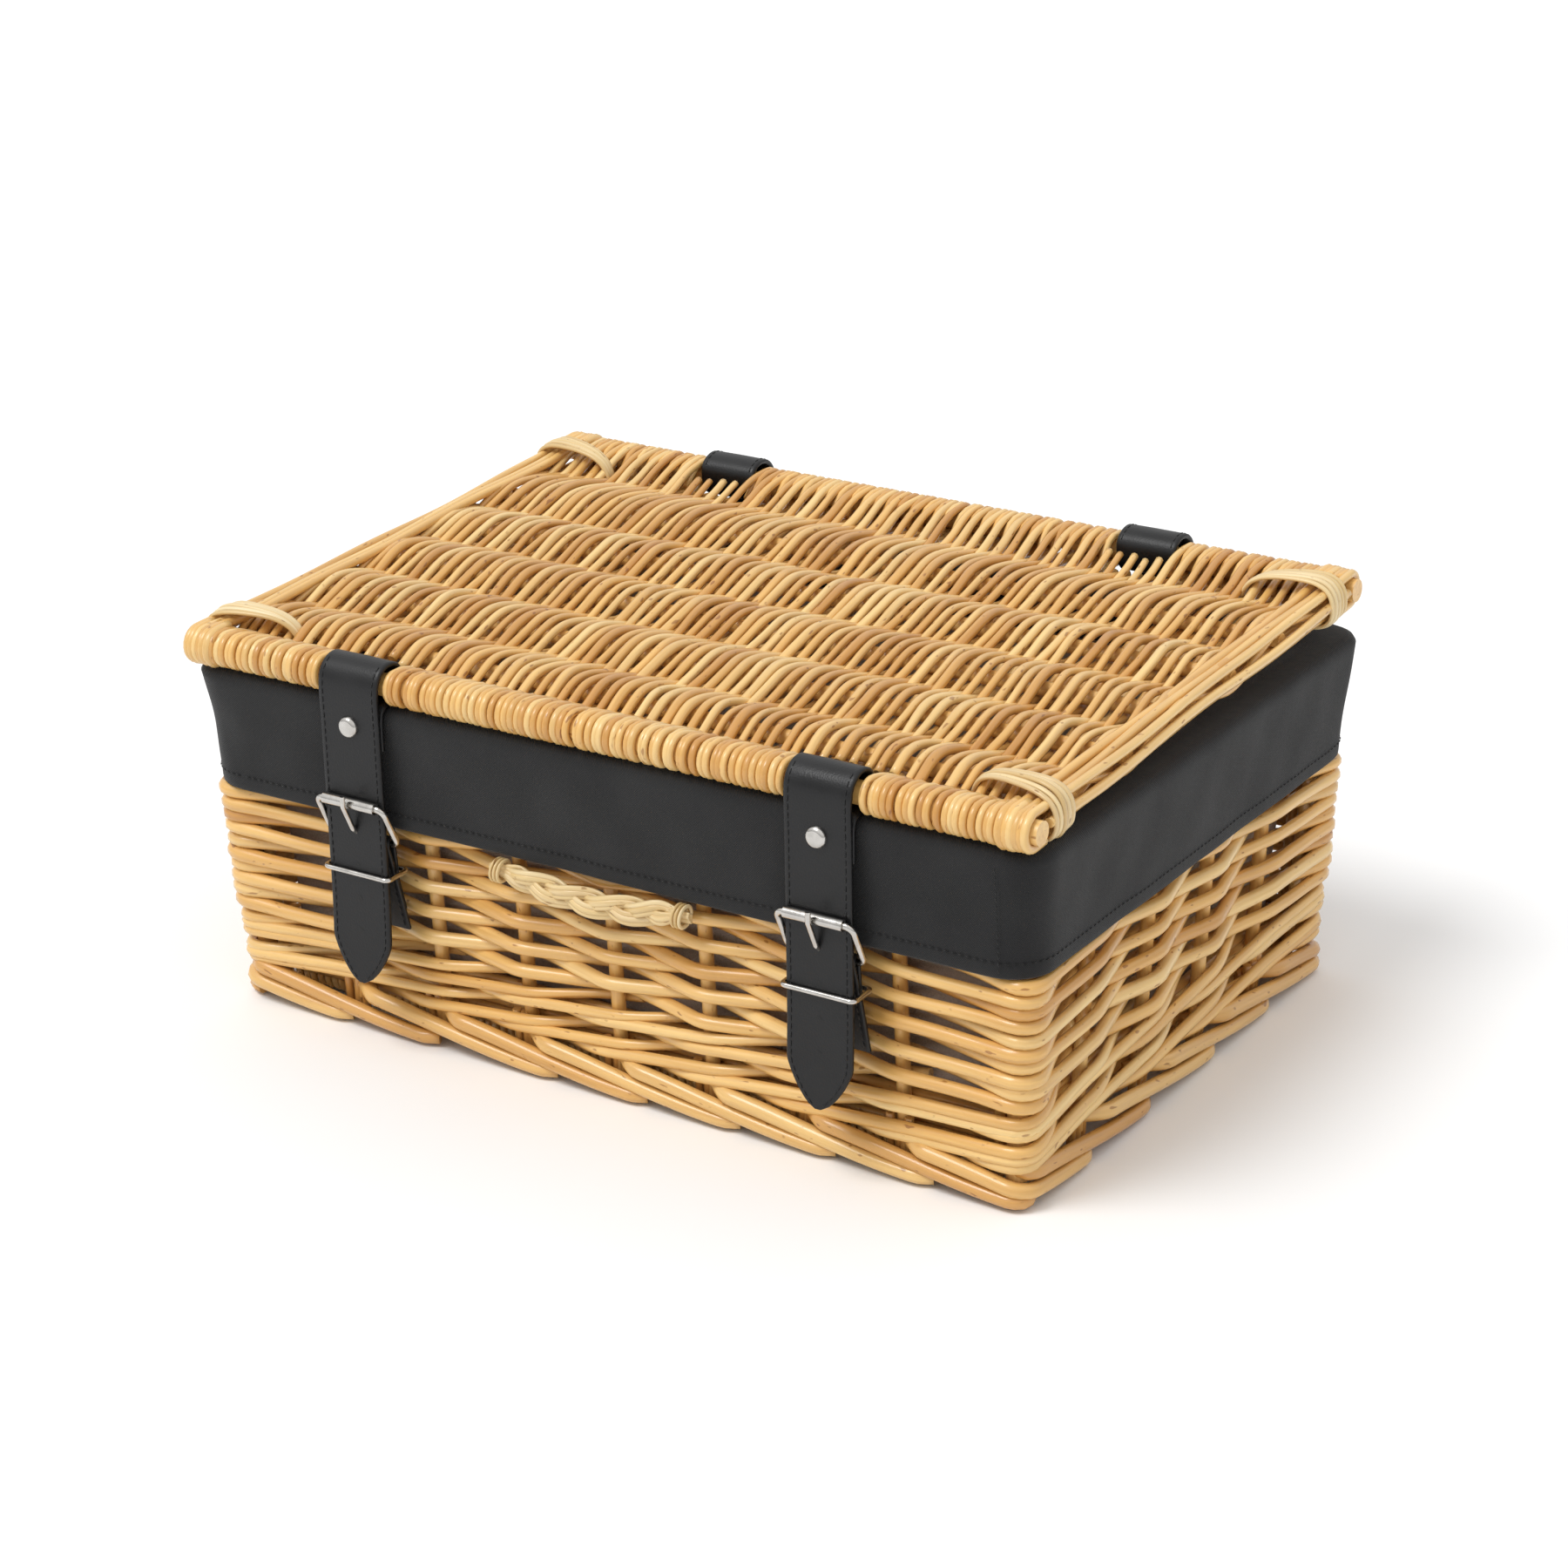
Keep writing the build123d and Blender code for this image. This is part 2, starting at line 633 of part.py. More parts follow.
# Rear hinge loops
hinge_rivets = []
for side, x_sign in sides:
    with BuildLine() as hinge_path:
        loop_profile(lid_rear, hinge_line, 1, hinge_turn, hinge_tail_height, hinge_tail_height)
    with BuildPart() as hinge_loop:
        with BuildSketch(Plane.YZ.offset(x_sign * hinge_x)):
            for edge in hinge_path.edges():
                trace(edge, line_width=strap_thickness)
        extrude(amount=hinge_width / 2, both=True)
        with BuildSketch(Plane.XZ):
            with Locations((x_sign * hinge_x, hinge_rivet_height)):
                Circle(rivet_shank_radius + hinge_gap)
        extrude(amount=-2 * hinge_line, mode=Mode.SUBTRACT)
    keep(f"hinge_loop_{side}", hinge_loop.part)
    hinge_rivets.append(
        rivet(x_sign * hinge_x, hinge_line, hinge_rivet_height, 1, rivet_head_radius)
    )
keep("hinge_rivets", hinge_rivets)

# Buckle tabs: folded round the heel bar, running down and back to the weave
tab_foot = (-(weave_face(tab_foot_height) + lay_gap + tab_thickness / 2), tab_foot_height)
fold_front = tangent_point(heel, tab_fold_radius, tab_foot, -1)
run = hypot(fold_front[0] - tab_foot[0], fold_front[1] - tab_foot[1])
tab_along = ((fold_front[0] - tab_foot[0]) / run, (fold_front[1] - tab_foot[1]) / run)
tab_back = (tab_along[1], -tab_along[0])
tab_layer = tab_thickness - lay_gap / 2


def on_tab(height, depth=0.0):
    """A point on the tab's front layer at a height, moved back through the leather."""
    travel = (height - tab_foot[1]) / tab_along[1]
    y = tab_foot[0] + tab_along[0] * travel + tab_back[0] * depth
    return (y, height + tab_back[1] * depth)


back_join = on_tab(tab_rivet_height + tab_rivet_radius * 2, tab_layer)
back_end = on_tab(tab_rivet_height - tab_rivet_radius * 2, tab_layer)
fold_back = tangent_point(heel, tab_fold_radius, back_join, 1)
tab_rivets = []
for side, x_sign in sides:
    x = x_sign * strap_x
    with BuildLine() as tab_path:
        Line(tab_foot, fold_front)
        ThreePointArc(fold_front, (heel[0], heel[1] + tab_fold_radius), fold_back)
        Line(fold_back, back_join)
        Line(back_join, back_end)
    with BuildPart() as tab:
        with BuildSketch(Plane.YZ.offset(x)):
            for edge in tab_path.edges():
                trace(edge, line_width=tab_thickness)
        extrude(amount=tab_width / 2, both=True)
        with BuildSketch(Plane.YZ.offset(x)):
            with Locations(heel):
                Circle(tab_slot_reach)
        extrude(amount=prong_eye_width / 2 + lay_gap, both=True, mode=Mode.SUBTRACT)
        rivet_plane = Plane((x, *on_tab(tab_rivet_height)), z_dir=(0, -tab_back[0], -tab_back[1]))
        with BuildSketch(rivet_plane):
            Circle(rivet_shank_radius + hinge_gap)
        extrude(amount=4 * tab_thickness, both=True, mode=Mode.SUBTRACT)
    keep(f"buckle_tab_{side}", tab.part)

    head_plane = rivet_plane.offset(tab_thickness / 2)
    with BuildPart() as tab_rivet:
        with BuildSketch(head_plane):
            Circle(tab_rivet_radius)
        extrude(amount=rivet_back_height)
        with BuildSketch(head_plane):
            Circle(rivet_shank_radius)
        extrude(amount=-(tab_thickness + tab_layer))
        with BuildSketch(head_plane.offset(-(tab_thickness + tab_layer))):
            Circle(tab_rivet_radius)
        extrude(amount=-rivet_back_height)
    tab_rivets.append(tab_rivet.part)
keep("tab_rivets", tab_rivets)

# Buckles: a wire frame on the heel bar, a roller on its top bar and a prong through the strap
frame_rise = hypot(roller[0] - heel[0], roller[1] - heel[1])
frame_slope = ((roller[0] - heel[0]) / frame_rise, (roller[1] - heel[1]) / frame_rise)
frame_middle = ((roller[0] + heel[0]) / 2, (roller[1] + heel[1]) / 2)
prong_start = on_circle(heel, buckle_wire_radius + prong_eye_wall, 180 - prong_rise)
prong_elbow_y = strap_front - lay_gap - prong_radius
prong_elbow = (prong_elbow_y, heel_height + (heel[0] - prong_elbow_y) * tan(radians(prong_rise)))
prong_top = (roller[0] - roller_radius - 3 * lay_gap - prong_radius, roller_height)
prong_tip = (prong_top[0], roller_height + prong_tip_rise)
keeper_front = strap_front - lay_gap - keeper_wire_radius
tab_share = (keeper_height - back_join[1]) / (fold_back[1] - back_join[1])
tab_behind = back_join[0] + tab_share * (fold_back[0] - back_join[0]) + tab_thickness / 2
keeper_back = tab_behind + 2 * lay_gap + keeper_wire_radius
for side, x_sign in sides:
    x = x_sign * strap_x
    frame_plane = Plane(
        (x, *frame_middle), x_dir=(1, 0, 0), z_dir=(0, -frame_slope[1], frame_slope[0])
    )
    with BuildSketch(frame_plane) as frame_outline:
        RectangleRounded(buckle_width - 2 * buckle_wire_radius, frame_rise, buckle_corner_radius)
    frame_line = frame_outline.sketch.face().outer_wire().edges()
    keep(f"buckle_frame_{side}", rod_along(frame_line, buckle_wire_radius))

    with BuildPart() as buckle_roller:
        with BuildSketch(Plane.YZ.offset(x)):
            with Locations(roller):
                Circle(roller_radius)
                Circle(buckle_wire_radius + hinge_gap, mode=Mode.SUBTRACT)
        extrude(amount=roller_length / 2, both=True)
    keep(f"buckle_roller_{side}", buckle_roller.part)

    with BuildLine(Plane.YZ.offset(x)) as prong_path:
        FilletPolyline(prong_start, prong_elbow, prong_top, prong_tip, radius=prong_turn_radius)
    with BuildPart() as prong:
        with BuildSketch(Plane.YZ.offset(x)):
            with Locations(heel):
                Circle(buckle_wire_radius + hinge_gap + prong_eye_wall)
        extrude(amount=prong_eye_width / 2, both=True)
        add(rod_along(prong_path.edges(), prong_radius))
        with BuildSketch(Plane.YZ.offset(x)):
            with Locations(heel):
                Circle(buckle_wire_radius + hinge_gap)
        extrude(amount=prong_eye_width, both=True, mode=Mode.SUBTRACT)
    keep(f"buckle_prong_{side}", prong.part)

    with BuildSketch(Plane.XY.offset(keeper_height)) as keeper_outline:
        with Locations((x, (keeper_front + keeper_back) / 2)):
            RectangleRounded(
                strap_width + 2 * lay_gap + 2 * keeper_wire_radius,
                keeper_back - keeper_front,
                keeper_corner_radius,
            )
    keeper_line = keeper_outline.sketch.face().outer_wire().edges()
    keep(f"keeper_{side}", rod_along(keeper_line, keeper_wire_radius))

# Plaited handle, hanging from two skein loops on the front wall
loop_outer = handle_barrel_radius + hinge_gap + handle_loop_wall
handle_axis_height = skirt_bottom - loop_outer - handle_hem_gap
handle_axis = (-(weave_face(handle_axis_height) + lay_gap + loop_outer), handle_axis_height)
handle_plane = Plane((0, *handle_axis), x_dir=(1, 0, 0), z_dir=(0, -1, 0))
barrel_end = handle_half_span + handle_barrel_length
with BuildLine(handle_plane) as plait_path:
    ThreePointArc((-handle_half_span, 0), (0, -handle_drop), (handle_half_span, 0))
with BuildPart() as handle:
    add(rod_along(plait_path.edges(), handle_radius))
    for barrel_start in (-barrel_end, handle_half_span - handle_barrel_radius):
        with BuildSketch(Plane.YZ.offset(barrel_start)):
            with Locations(handle_axis):
                Circle(handle_barrel_radius)
        extrude(amount=handle_barrel_length + handle_barrel_radius)
keep("handle_plait", handle.part)

handle_loops = []
for x_sign in (-1, 1):
    with BuildPart() as handle_loop:
        with BuildSketch(Plane.YZ.offset(x_sign * (barrel_end - handle_barrel_length / 2))):
            with Locations(handle_axis):
                Circle(loop_outer)
                Circle(handle_barrel_radius + hinge_gap, mode=Mode.SUBTRACT)
        extrude(amount=handle_loop_width / 2, both=True)
    handle_loops.append(handle_loop.part)
keep("handle_loops", handle_loops)

os.makedirs("parts", exist_ok=True)
for name, piece in pieces.items():
    export_step(piece, f"parts/{name}.step")
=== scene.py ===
import random
from math import cos, pi, radians, sin, tan

import bpy
import numpy as np
from mathutils import Matrix, Vector


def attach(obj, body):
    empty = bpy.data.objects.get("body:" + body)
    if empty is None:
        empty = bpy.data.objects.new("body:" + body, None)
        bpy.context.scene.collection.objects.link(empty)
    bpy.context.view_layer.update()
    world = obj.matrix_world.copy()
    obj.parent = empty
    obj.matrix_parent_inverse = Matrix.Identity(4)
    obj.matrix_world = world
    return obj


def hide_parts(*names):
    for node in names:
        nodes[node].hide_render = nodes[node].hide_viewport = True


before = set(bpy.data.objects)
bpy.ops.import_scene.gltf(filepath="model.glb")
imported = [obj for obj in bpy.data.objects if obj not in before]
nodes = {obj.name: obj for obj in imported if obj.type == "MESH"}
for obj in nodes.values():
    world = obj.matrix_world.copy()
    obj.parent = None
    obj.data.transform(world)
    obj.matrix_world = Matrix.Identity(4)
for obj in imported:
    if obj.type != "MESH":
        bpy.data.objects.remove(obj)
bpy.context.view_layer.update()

# Lined willow hamper, in the CAD model's frame and in millimetres until a mesh is made in metres
MM = 0.001
rng = random.Random(11)

WALLS = ("front", "right", "back", "left")
SIDES = {"left": -1, "right": 1}
CORNERS = ((-1, -1), (1, -1), (1, 1), (-1, 1))  # signs of x and y, from the front left one
X_AXIS, Y_AXIS, Z_AXIS = (1.0, 0.0, 0.0), (0.0, 1.0, 0.0), (0.0, 0.0, 1.0)

# The line of the stakes, which leans out from its half sizes at the floor
FOOT_HALF_LENGTH, FOOT_HALF_WIDTH = 209.0, 139.0
LEAN = tan(radians(3.0))

# The lid slopes down from its rear stick to its front one, both given as (y, z)
REAR, FRONT = (150.0625, 198.592), (-157.7, 186.5)
TILT = radians(2.25)
LID_DEPTH = 308.0
MIDDLE_STICKS = (73.0, 123.0, 173.0, 223.0, 273.0)
EDGE_STICK_RADIUS, MIDDLE_STICK_RADIUS = 5.5, 3.6
STRAP_X, HINGE_X = 127.0, 122.0


def half_length(z):
    return FOOT_HALF_LENGTH + z * LEAN


def half_width(z):
    return FOOT_HALF_WIDTH + z * LEAN


def lid_point(x, v, n):
    """A point on the lid: across, along its slope from the rear stick, and off its middle."""
    return (x, REAR[0] - v * cos(TILT) - n * sin(TILT), REAR[1] - v * sin(TILT) + n * cos(TILT))


def ease(t):
    t = min(max(t, 0.0), 1.0)
    return t * t * (3 - 2 * t)


def between(stations, place):
    """Value at a place on a line of (place, value) stations, eased from each to the next."""
    for (a, low), (b, high) in zip(stations, stations[1:]):
        if place <= b:
            return low + (high - low) * ease((place - a) / (b - a))
    return stations[-1][1]


def bent(stations, place):
    """Value at a place on straight runs between stations, rounded a little at each of them."""
    places, values = zip(*stations)
    return float(np.mean(np.interp([place - 4.0, place, place + 4.0], places, values)))


def run_along(points):
    """Length from the first point to each of them."""
    return np.concatenate([[0.0], np.cumsum(np.linalg.norm(np.diff(points, axis=0), axis=1))])


# Materials

WHITE = (1.0, 1.0, 1.0)
MIX_AMOUNT, MIX_A, MIX_B, MIX_RESULT = 0, 6, 7, 2  # colour sockets of a mix node
ROD_GRAIN, UPRIGHT_GRAIN = (22.0, 420.0, 420.0), (420.0, 420.0, 22.0)


def new_material(name):
    mat = bpy.data.materials.new(name)
    mat.use_nodes = True
    tree = mat.node_tree
    tree.nodes.clear()
    out = tree.nodes.new("ShaderNodeOutputMaterial")
    shader = tree.nodes.new("ShaderNodeBsdfPrincipled")
    tree.links.new(shader.outputs[0], out.inputs[0])
    return mat, tree, shader


def noise(tree, vector, scale, detail, stretch=(1, 1, 1)):
    mapping = tree.nodes.new("ShaderNodeMapping")
    mapping.inputs["Scale"].default_value = stretch
    tree.links.new(vector, mapping.inputs["Vector"])
    node = tree.nodes.new("ShaderNodeTexNoise")
    node.inputs["Scale"].default_value = scale
    node.inputs["Detail"].default_value = detail
    tree.links.new(mapping.outputs[0], node.inputs["Vector"])
    return node.outputs[0]


def maths(tree, operation, *values):
    """One maths node; each value is a number or the output of another node."""
    node = tree.nodes.new("ShaderNodeMath")
    node.operation = operation
    for socket, value in zip(node.inputs, values):
        if isinstance(value, float):
            socket.default_value = value
        else:
            tree.links.new(value, socket)
    return node.outputs[0]


def ramp(tree, value, stops):
    node = tree.nodes.new("ShaderNodeValToRGB")
    while len(node.color_ramp.elements) < len(stops):
        node.color_ramp.elements.new(0.5)
    for element, (place, colour) in zip(node.color_ramp.elements, stops):
        element.position = place
        element.color = (*colour, 1.0)
    tree.links.new(value, node.inputs[0])
    return node.outputs[0]


def spread(tree, value, low, high, start=0.3, end=0.7):
    """A value from start to end, carried over to low to high. Noise lies mostly in 0.3 to 0.7."""
    node = tree.nodes.new("ShaderNodeMapRange")
    node.inputs["From Min"].default_value = start
    node.inputs["From Max"].default_value = end
    node.inputs["To Min"].default_value = low
    node.inputs["To Max"].default_value = high
    tree.links.new(value, node.inputs["Value"])
    return node.outputs[0]


def darken(tree, colour, shade, amount):
    """A colour multiplied by a shade, as far as the amount says."""
    node = tree.nodes.new("ShaderNodeMix")
    node.data_type = "RGBA"
    node.blend_type = "MULTIPLY"
    node.inputs[MIX_AMOUNT].default_value = amount
    tree.links.new(colour, node.inputs[MIX_A])
    tree.links.new(shade, node.inputs[MIX_B])
    return node.outputs[MIX_RESULT]


def bump(tree, shader, height, strength, distance):
    node = tree.nodes.new("ShaderNodeBump")
    node.inputs["Strength"].default_value = strength
    node.inputs["Distance"].default_value = distance
    tree.links.new(height, node.inputs["Height"])
    tree.links.new(node.outputs[0], shader.inputs["Normal"])


def object_place(tree):
    return tree.nodes.new("ShaderNodeTexCoord").outputs["Object"]


def attribute(tree, name, output):
    node = tree.nodes.new("ShaderNodeAttribute")
    node.attribute_name = name
    return node.outputs[output]


def willow(name, stops, grain=None, coat=0.5):
    """Varnished willow. Rods carry their own tone and grain; a grain stretch is for CAD sticks."""
    mat, tree, shader = new_material(name)
    if grain is None:
        tone = attribute(tree, "tone", "Fac")
        place = attribute(tree, "grain", "Vector")
        stretch = ROD_GRAIN
    else:
        place = object_place(tree)
        tone = spread(tree, noise(tree, place, 14.0, 1.0), 0.2, 0.8)
        stretch = grain
    streak = noise(tree, place, 1.0, 4.0, stretch)
    blotch = noise(tree, place, 1.0, 2.0, tuple(s * 0.35 for s in stretch))
    speck = noise(tree, place, 1.0, 1.0, tuple(s * 0.9 if s > 100 else s * 7 for s in stretch))
    streaks = ramp(tree, streak, ((0.30, (0.66, 0.54, 0.40)), (0.62, WHITE)))
    blotches = ramp(tree, blotch, ((0.33, (0.78, 0.66, 0.50)), (0.55, WHITE)))
    specks = ramp(tree, speck, ((0.70, WHITE), (0.76, (0.42, 0.26, 0.13))))
    colour = ramp(tree, tone, stops)
    for shade, amount in ((streaks, 0.42), (blotches, 0.5), (specks, 0.75)):
        colour = darken(tree, colour, shade, amount)
    tree.links.new(colour, shader.inputs["Base Color"])
    tree.links.new(spread(tree, streak, 0.30, 0.46), shader.inputs["Roughness"])
    shader.inputs["Coat Weight"].default_value = coat
    shader.inputs["Coat Roughness"].default_value = 0.16
    bump(tree, shader, streak, 0.25, 0.0004)
    return mat


HONEY = ((0.0, (0.62, 0.310, 0.072)), (0.45, (0.810, 0.485, 0.150)), (1.0, (0.89, 0.63, 0.265)))
AMBER = ((0.0, (0.58, 0.285, 0.070)), (0.5, (0.74, 0.425, 0.125)), (1.0, (0.83, 0.55, 0.205)))
STRAW = ((0.0, (0.68, 0.485, 0.205)), (0.5, (0.79, 0.60, 0.305)), (1.0, (0.86, 0.71, 0.430)))
willow_rods = willow("willow_rods", HONEY)
willow_foot = willow("willow_foot_rods", AMBER)
willow_skein = willow("willow_skein", STRAW, coat=0.2)
willow_sticks = willow("willow_sticks", HONEY, grain=ROD_GRAIN)
willow_stakes = willow("willow_stakes", HONEY, grain=UPRIGHT_GRAIN)


def cloth(name, dark, light, weave):
    """Plain cotton: two sets of threads in bump, with soft uneven wear in the colour."""
    mat, tree, shader = new_material(name)
    place = object_place(tree)
    threads = []
    for direction in ((1.0, 1.0, 0.0), (0.0, 0.0, 1.0)):
        reach = tree.nodes.new("ShaderNodeVectorMath")
        reach.operation = "DOT_PRODUCT"
        tree.links.new(place, reach.inputs[0])
        reach.inputs[1].default_value = direction
        threads.append(maths(tree, "SINE", maths(tree, "MULTIPLY", reach.outputs["Value"], weave)))
    crossing = maths(tree, "MULTIPLY", *threads)
    fuzz = noise(tree, place, 900.0, 2.0)
    wear = noise(tree, place, 26.0, 4.0)
    creases = noise(tree, place, 70.0, 5.0, (1.0, 1.0, 0.6))
    height = maths(tree, "MULTIPLY_ADD", creases, 5.0, crossing)
    colour = ramp(tree, wear, ((0.3, dark), (0.7, light)))
    flecks = ramp(tree, fuzz, ((0.3, (0.72, 0.72, 0.72)), (0.7, WHITE)))
    tree.links.new(darken(tree, colour, flecks, 0.6), shader.inputs["Base Color"])
    tree.links.new(spread(tree, fuzz, 0.82, 0.96), shader.inputs["Roughness"])
    shader.inputs["Sheen Weight"].default_value = 0.12
    shader.inputs["Sheen Roughness"].default_value = 0.5
    shader.inputs["Specular IOR Level"].default_value = 0.25
    bump(tree, shader, height, 0.3, 0.0004)
    return mat


cotton = cloth("black_cotton", (0.0135, 0.0135, 0.014), (0.021, 0.021, 0.0215), 5200.0)
cotton_thread = cloth("cotton_thread", (0.006, 0.006, 0.006), (0.012, 0.012, 0.012), 9000.0)
# The bag's colour is partly its own taupe and partly painted light: it is lifted so that the shaded gaps
# between the wall rods read lighter
bag_cotton_painted_light = cloth("bag_cotton_painted_light", (0.48, 0.41, 0.35), (0.60, 0.51, 0.44), 5200.0)


def leather_material(name, dark, light):
    """Black finished leather with a fine pebbled grain and slightly rubbed high spots."""
    mat, tree, shader = new_material(name)
    place = object_place(tree)
    cells = tree.nodes.new("ShaderNodeTexVoronoi")
    cells.inputs["Scale"].default_value = 1100.0
    tree.links.new(place, cells.inputs["Vector"])
    wear = noise(tree, place, 60.0, 5.0)
    tree.links.new(ramp(tree, wear, ((0.3, dark), (0.75, light))), shader.inputs["Base Color"])
    tree.links.new(spread(tree, wear, 0.34, 0.48), shader.inputs["Roughness"])
    shader.inputs["Specular IOR Level"].default_value = 0.38
    bump(tree, shader, cells.outputs["Distance"], 0.18, 0.0003)
    return mat


leather = leather_material("black_leather", (0.0045, 0.0045, 0.005), (0.009, 0.009, 0.0098))
# Dark thread for the leather's stitches, also used for the painted shade of the strap holes
leather_thread_and_hole_shade = leather_material("leather_thread_and_hole_shade", (0.004, 0.004, 0.004), (0.009, 0.009, 0.009))


def metal(name):
    """Nickel plate with faint rubbing in its gloss and tint."""
    mat, tree, shader = new_material(name)
    rub = noise(tree, object_place(tree), 240.0, 4.0)
    tint = ramp(tree, rub, ((0.3, (0.50, 0.48, 0.45)), (0.7, (0.62, 0.60, 0.57))))
    tree.links.new(tint, shader.inputs["Base Color"])
    tree.links.new(spread(tree, rub, 0.12, 0.24), shader.inputs["Roughness"])
    shader.inputs["Metallic"].default_value = 1.0
    bump(tree, shader, rub, 0.05, 0.0002)
    return mat


nickel = metal("nickel_plate")

# Meshes

# Each rod's grain is moved on by these, so that no two rods have the same marks
GRAIN_ALONG_MM, GRAIN_ACROSS_M = 911.0, 0.0137


class Rods:
    """Gathers many rods into one mesh, with a tone and a grain place on every point."""

    def __init__(self):
        self.points = []
        self.faces = []
        self.caps = []
        self.tones = []
        self.grain = []
        self.size = 0
        self.rods = 0

    def add(self, path, radius, ref, tone, sides=8, flat=1.0):
        """One rod along a path; flat is its thickness along ref as a share of its width."""
        path = np.asarray(path, float)
        count = len(path)
        radius = np.broadcast_to(np.asarray(radius, float), count)
        ahead = np.gradient(path, axis=0)
        ahead /= np.linalg.norm(ahead, axis=1)[:, None]
        side = np.cross(np.broadcast_to(np.asarray(ref, float), (count, 3)), ahead)
        side /= np.linalg.norm(side, axis=1)[:, None]
        up = np.cross(ahead, side)
        turn = np.arange(sides) * 2 * pi / sides
        across = np.cos(turn)[None, :, None] * side[:, None, :]
        across = across + flat * np.sin(turn)[None, :, None] * up[:, None, :]
        ring = path[:, None, :] + radius[:, None, None] * across
        grain = np.empty((count, sides, 3))
        grain[:, :, 0] = (run_along(path)[:, None] + GRAIN_ALONG_MM * self.rods) * MM
        grain[:, :, 1] = radius[:, None] * np.cos(turn)[None, :] * MM
        grain[:, :, 2] = radius[:, None] * np.sin(turn)[None, :] * MM + self.rods * GRAIN_ACROSS_M
        row = self.size + np.arange(count - 1)[:, None] * sides
        first = row + np.arange(sides)[None, :]
        after = row + (np.arange(sides)[None, :] + 1) % sides
        quads = np.stack([first, after, after + sides, first + sides], axis=2).reshape(-1, 4)
        self.faces.extend(quads.tolist())
        last = self.size + (count - 1) * sides
        self.caps.append([self.size + j for j in reversed(range(sides))])
        self.caps.append([last + j for j in range(sides)])
        self.points.append(ring.reshape(-1, 3))
        self.grain.append(grain.reshape(-1, 3))
        self.tones.append(np.full(count * sides, tone))
        self.size += count * sides
        self.rods += 1

    def make(self, name, material, body, slot, replaced=()):
        mesh = bpy.data.meshes.new(name)
        points = np.concatenate(self.points) * MM
        mesh.from_pydata(points.tolist(), [], self.faces + self.caps)
        smooth = np.ones(len(self.faces) + len(self.caps), bool)
        smooth[len(self.faces):] = False
        mesh.polygons.foreach_set("use_smooth", smooth)
        tone = mesh.attributes.new("tone", "FLOAT", "POINT")
        tone.data.foreach_set("value", np.concatenate(self.tones).astype(np.float32))
        grain = mesh.attributes.new("grain", "FLOAT_VECTOR", "POINT")
        grain.data.foreach_set("vector", np.concatenate(self.grain).astype(np.float32).ravel())
        return place_piece(name, mesh, material, body, replaced)


def place_piece(name, mesh, material, body, replaced=()):
    mesh.materials.append(material)
    obj = bpy.data.objects.new(name, mesh)
    bpy.context.scene.collection.objects.link(obj)
    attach(obj, body)
    if replaced:
        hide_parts(*replaced)
    return obj


def grid_mesh(name, rings):
    """A mesh from equal closed rings of points."""
    rows, count = len(rings), len(rings[0])
    points = np.asarray(rings, float).reshape(-1, 3) * MM
    faces = []
    for i in range(rows - 1):
        for j in range(count):
            k = (j + 1) % count
            faces.append((i * count + j, i * count + k, (i + 1) * count + k, (i + 1) * count + j))
    mesh = bpy.data.meshes.new(name)
    mesh.from_pydata(points.tolist(), [], faces)
    mesh.polygons.foreach_set("use_smooth", np.ones(len(faces), bool))
    return mesh


# Walls: a loop round the stakes, with an arc round each corner post

CORNER_RUN = 13.0  # the length that a corner takes up on a loop
WALL_TURN = (-pi / 2, 0.0, pi / 2, pi)  # which way each wall faces
WALL_STAKES = ((7, 51.0), (4, 58.0))  # stakes and their spacing in a long and in a short wall
STAKE_RADIUS = 3.8


class Loop:
    """The line of the stakes at a height, measured from the front left corner, front wall first."""

    def __init__(self, z):
        self.length, self.width = half_length(z), half_width(z)
        self.runs = [2 * self.length, 2 * self.width] * 2
        self.starts = [0.0]
        for run in self.runs:
            self.starts.append(self.starts[-1] + run + CORNER_RUN)
        self.total = self.starts[-1]
        self.stakes = []
        for wall in range(4):
            count, pitch = WALL_STAKES[wall % 2]
            middle = self.starts[wall] + self.runs[wall] / 2
            self.stakes += [middle + (i - (count - 1) / 2) * pitch for i in range(count)]

    def corners(self):
        """Start and end of every corner arc."""
        return [(self.starts[w] + self.runs[w], self.starts[w + 1]) for w in range(4)]

    def point(self, s, offset, z):
        """The point at a place on the loop, moved out from the stakes' line at a height."""
        s %= self.total
        wall = max(w for w in range(4) if self.starts[w] <= s)
        place = s - self.starts[wall]
        long, wide = half_length(z), half_width(z)
        turn = WALL_TURN[wall]
        if place <= self.runs[wall]:
            half = (wide, long)[wall % 2]
            along = place - (self.length, self.width)[wall % 2]
            x = half * cos(turn) - along * sin(turn) + offset * cos(turn)
            y = half * sin(turn) + along * cos(turn) + offset * sin(turn)
            return (x, y, z)
        turn += (place - self.runs[wall]) / CORNER_RUN * pi / 2
        x_sign = 1 if wall in (0, 1) else -1
        y_sign = 1 if wall in (1, 2) else -1
        return (x_sign * long + offset * cos(turn), y_sign * wide + offset * sin(turn), z)

    def path(self, stations, start, end, height, step, read=between):
        """Points from start to end: offset read from stations, height from a function of the place."""
        count = max(int((end - start) / step), 4)
        points = []
        for i in range(count + 1):
            s = start + (end - start) * i / count
            points.append(self.point(s, read(stations, s), height(s)))
        return points


# Plain weave: rows of level rods, outside and inside the stakes in turn, always round the posts
WEAVE_ROWS, WEAVE_BOTTOM, WEAVE_PITCH = 17, 52.5, 6.5
WEAVE_RADIUS, HIDDEN_RADIUS = 3.3, 2.6
CORNER_GAP, HIDDEN_CORNER_GAP = 5.8, 2.0  # from a post's middle to the near side of a rod round it
HIDDEN_ABOVE = 114.0  # the skirt hides the rows above this
ROD_END = 9.0  # how far a rod runs on past the stake behind which it ends
SWELL, SWELL_START, SWELL_RUN = 0.12, 16.0, 12.0
BESIDE_POST, BESIDE_POST_RADIUS = 9.2, 2.9


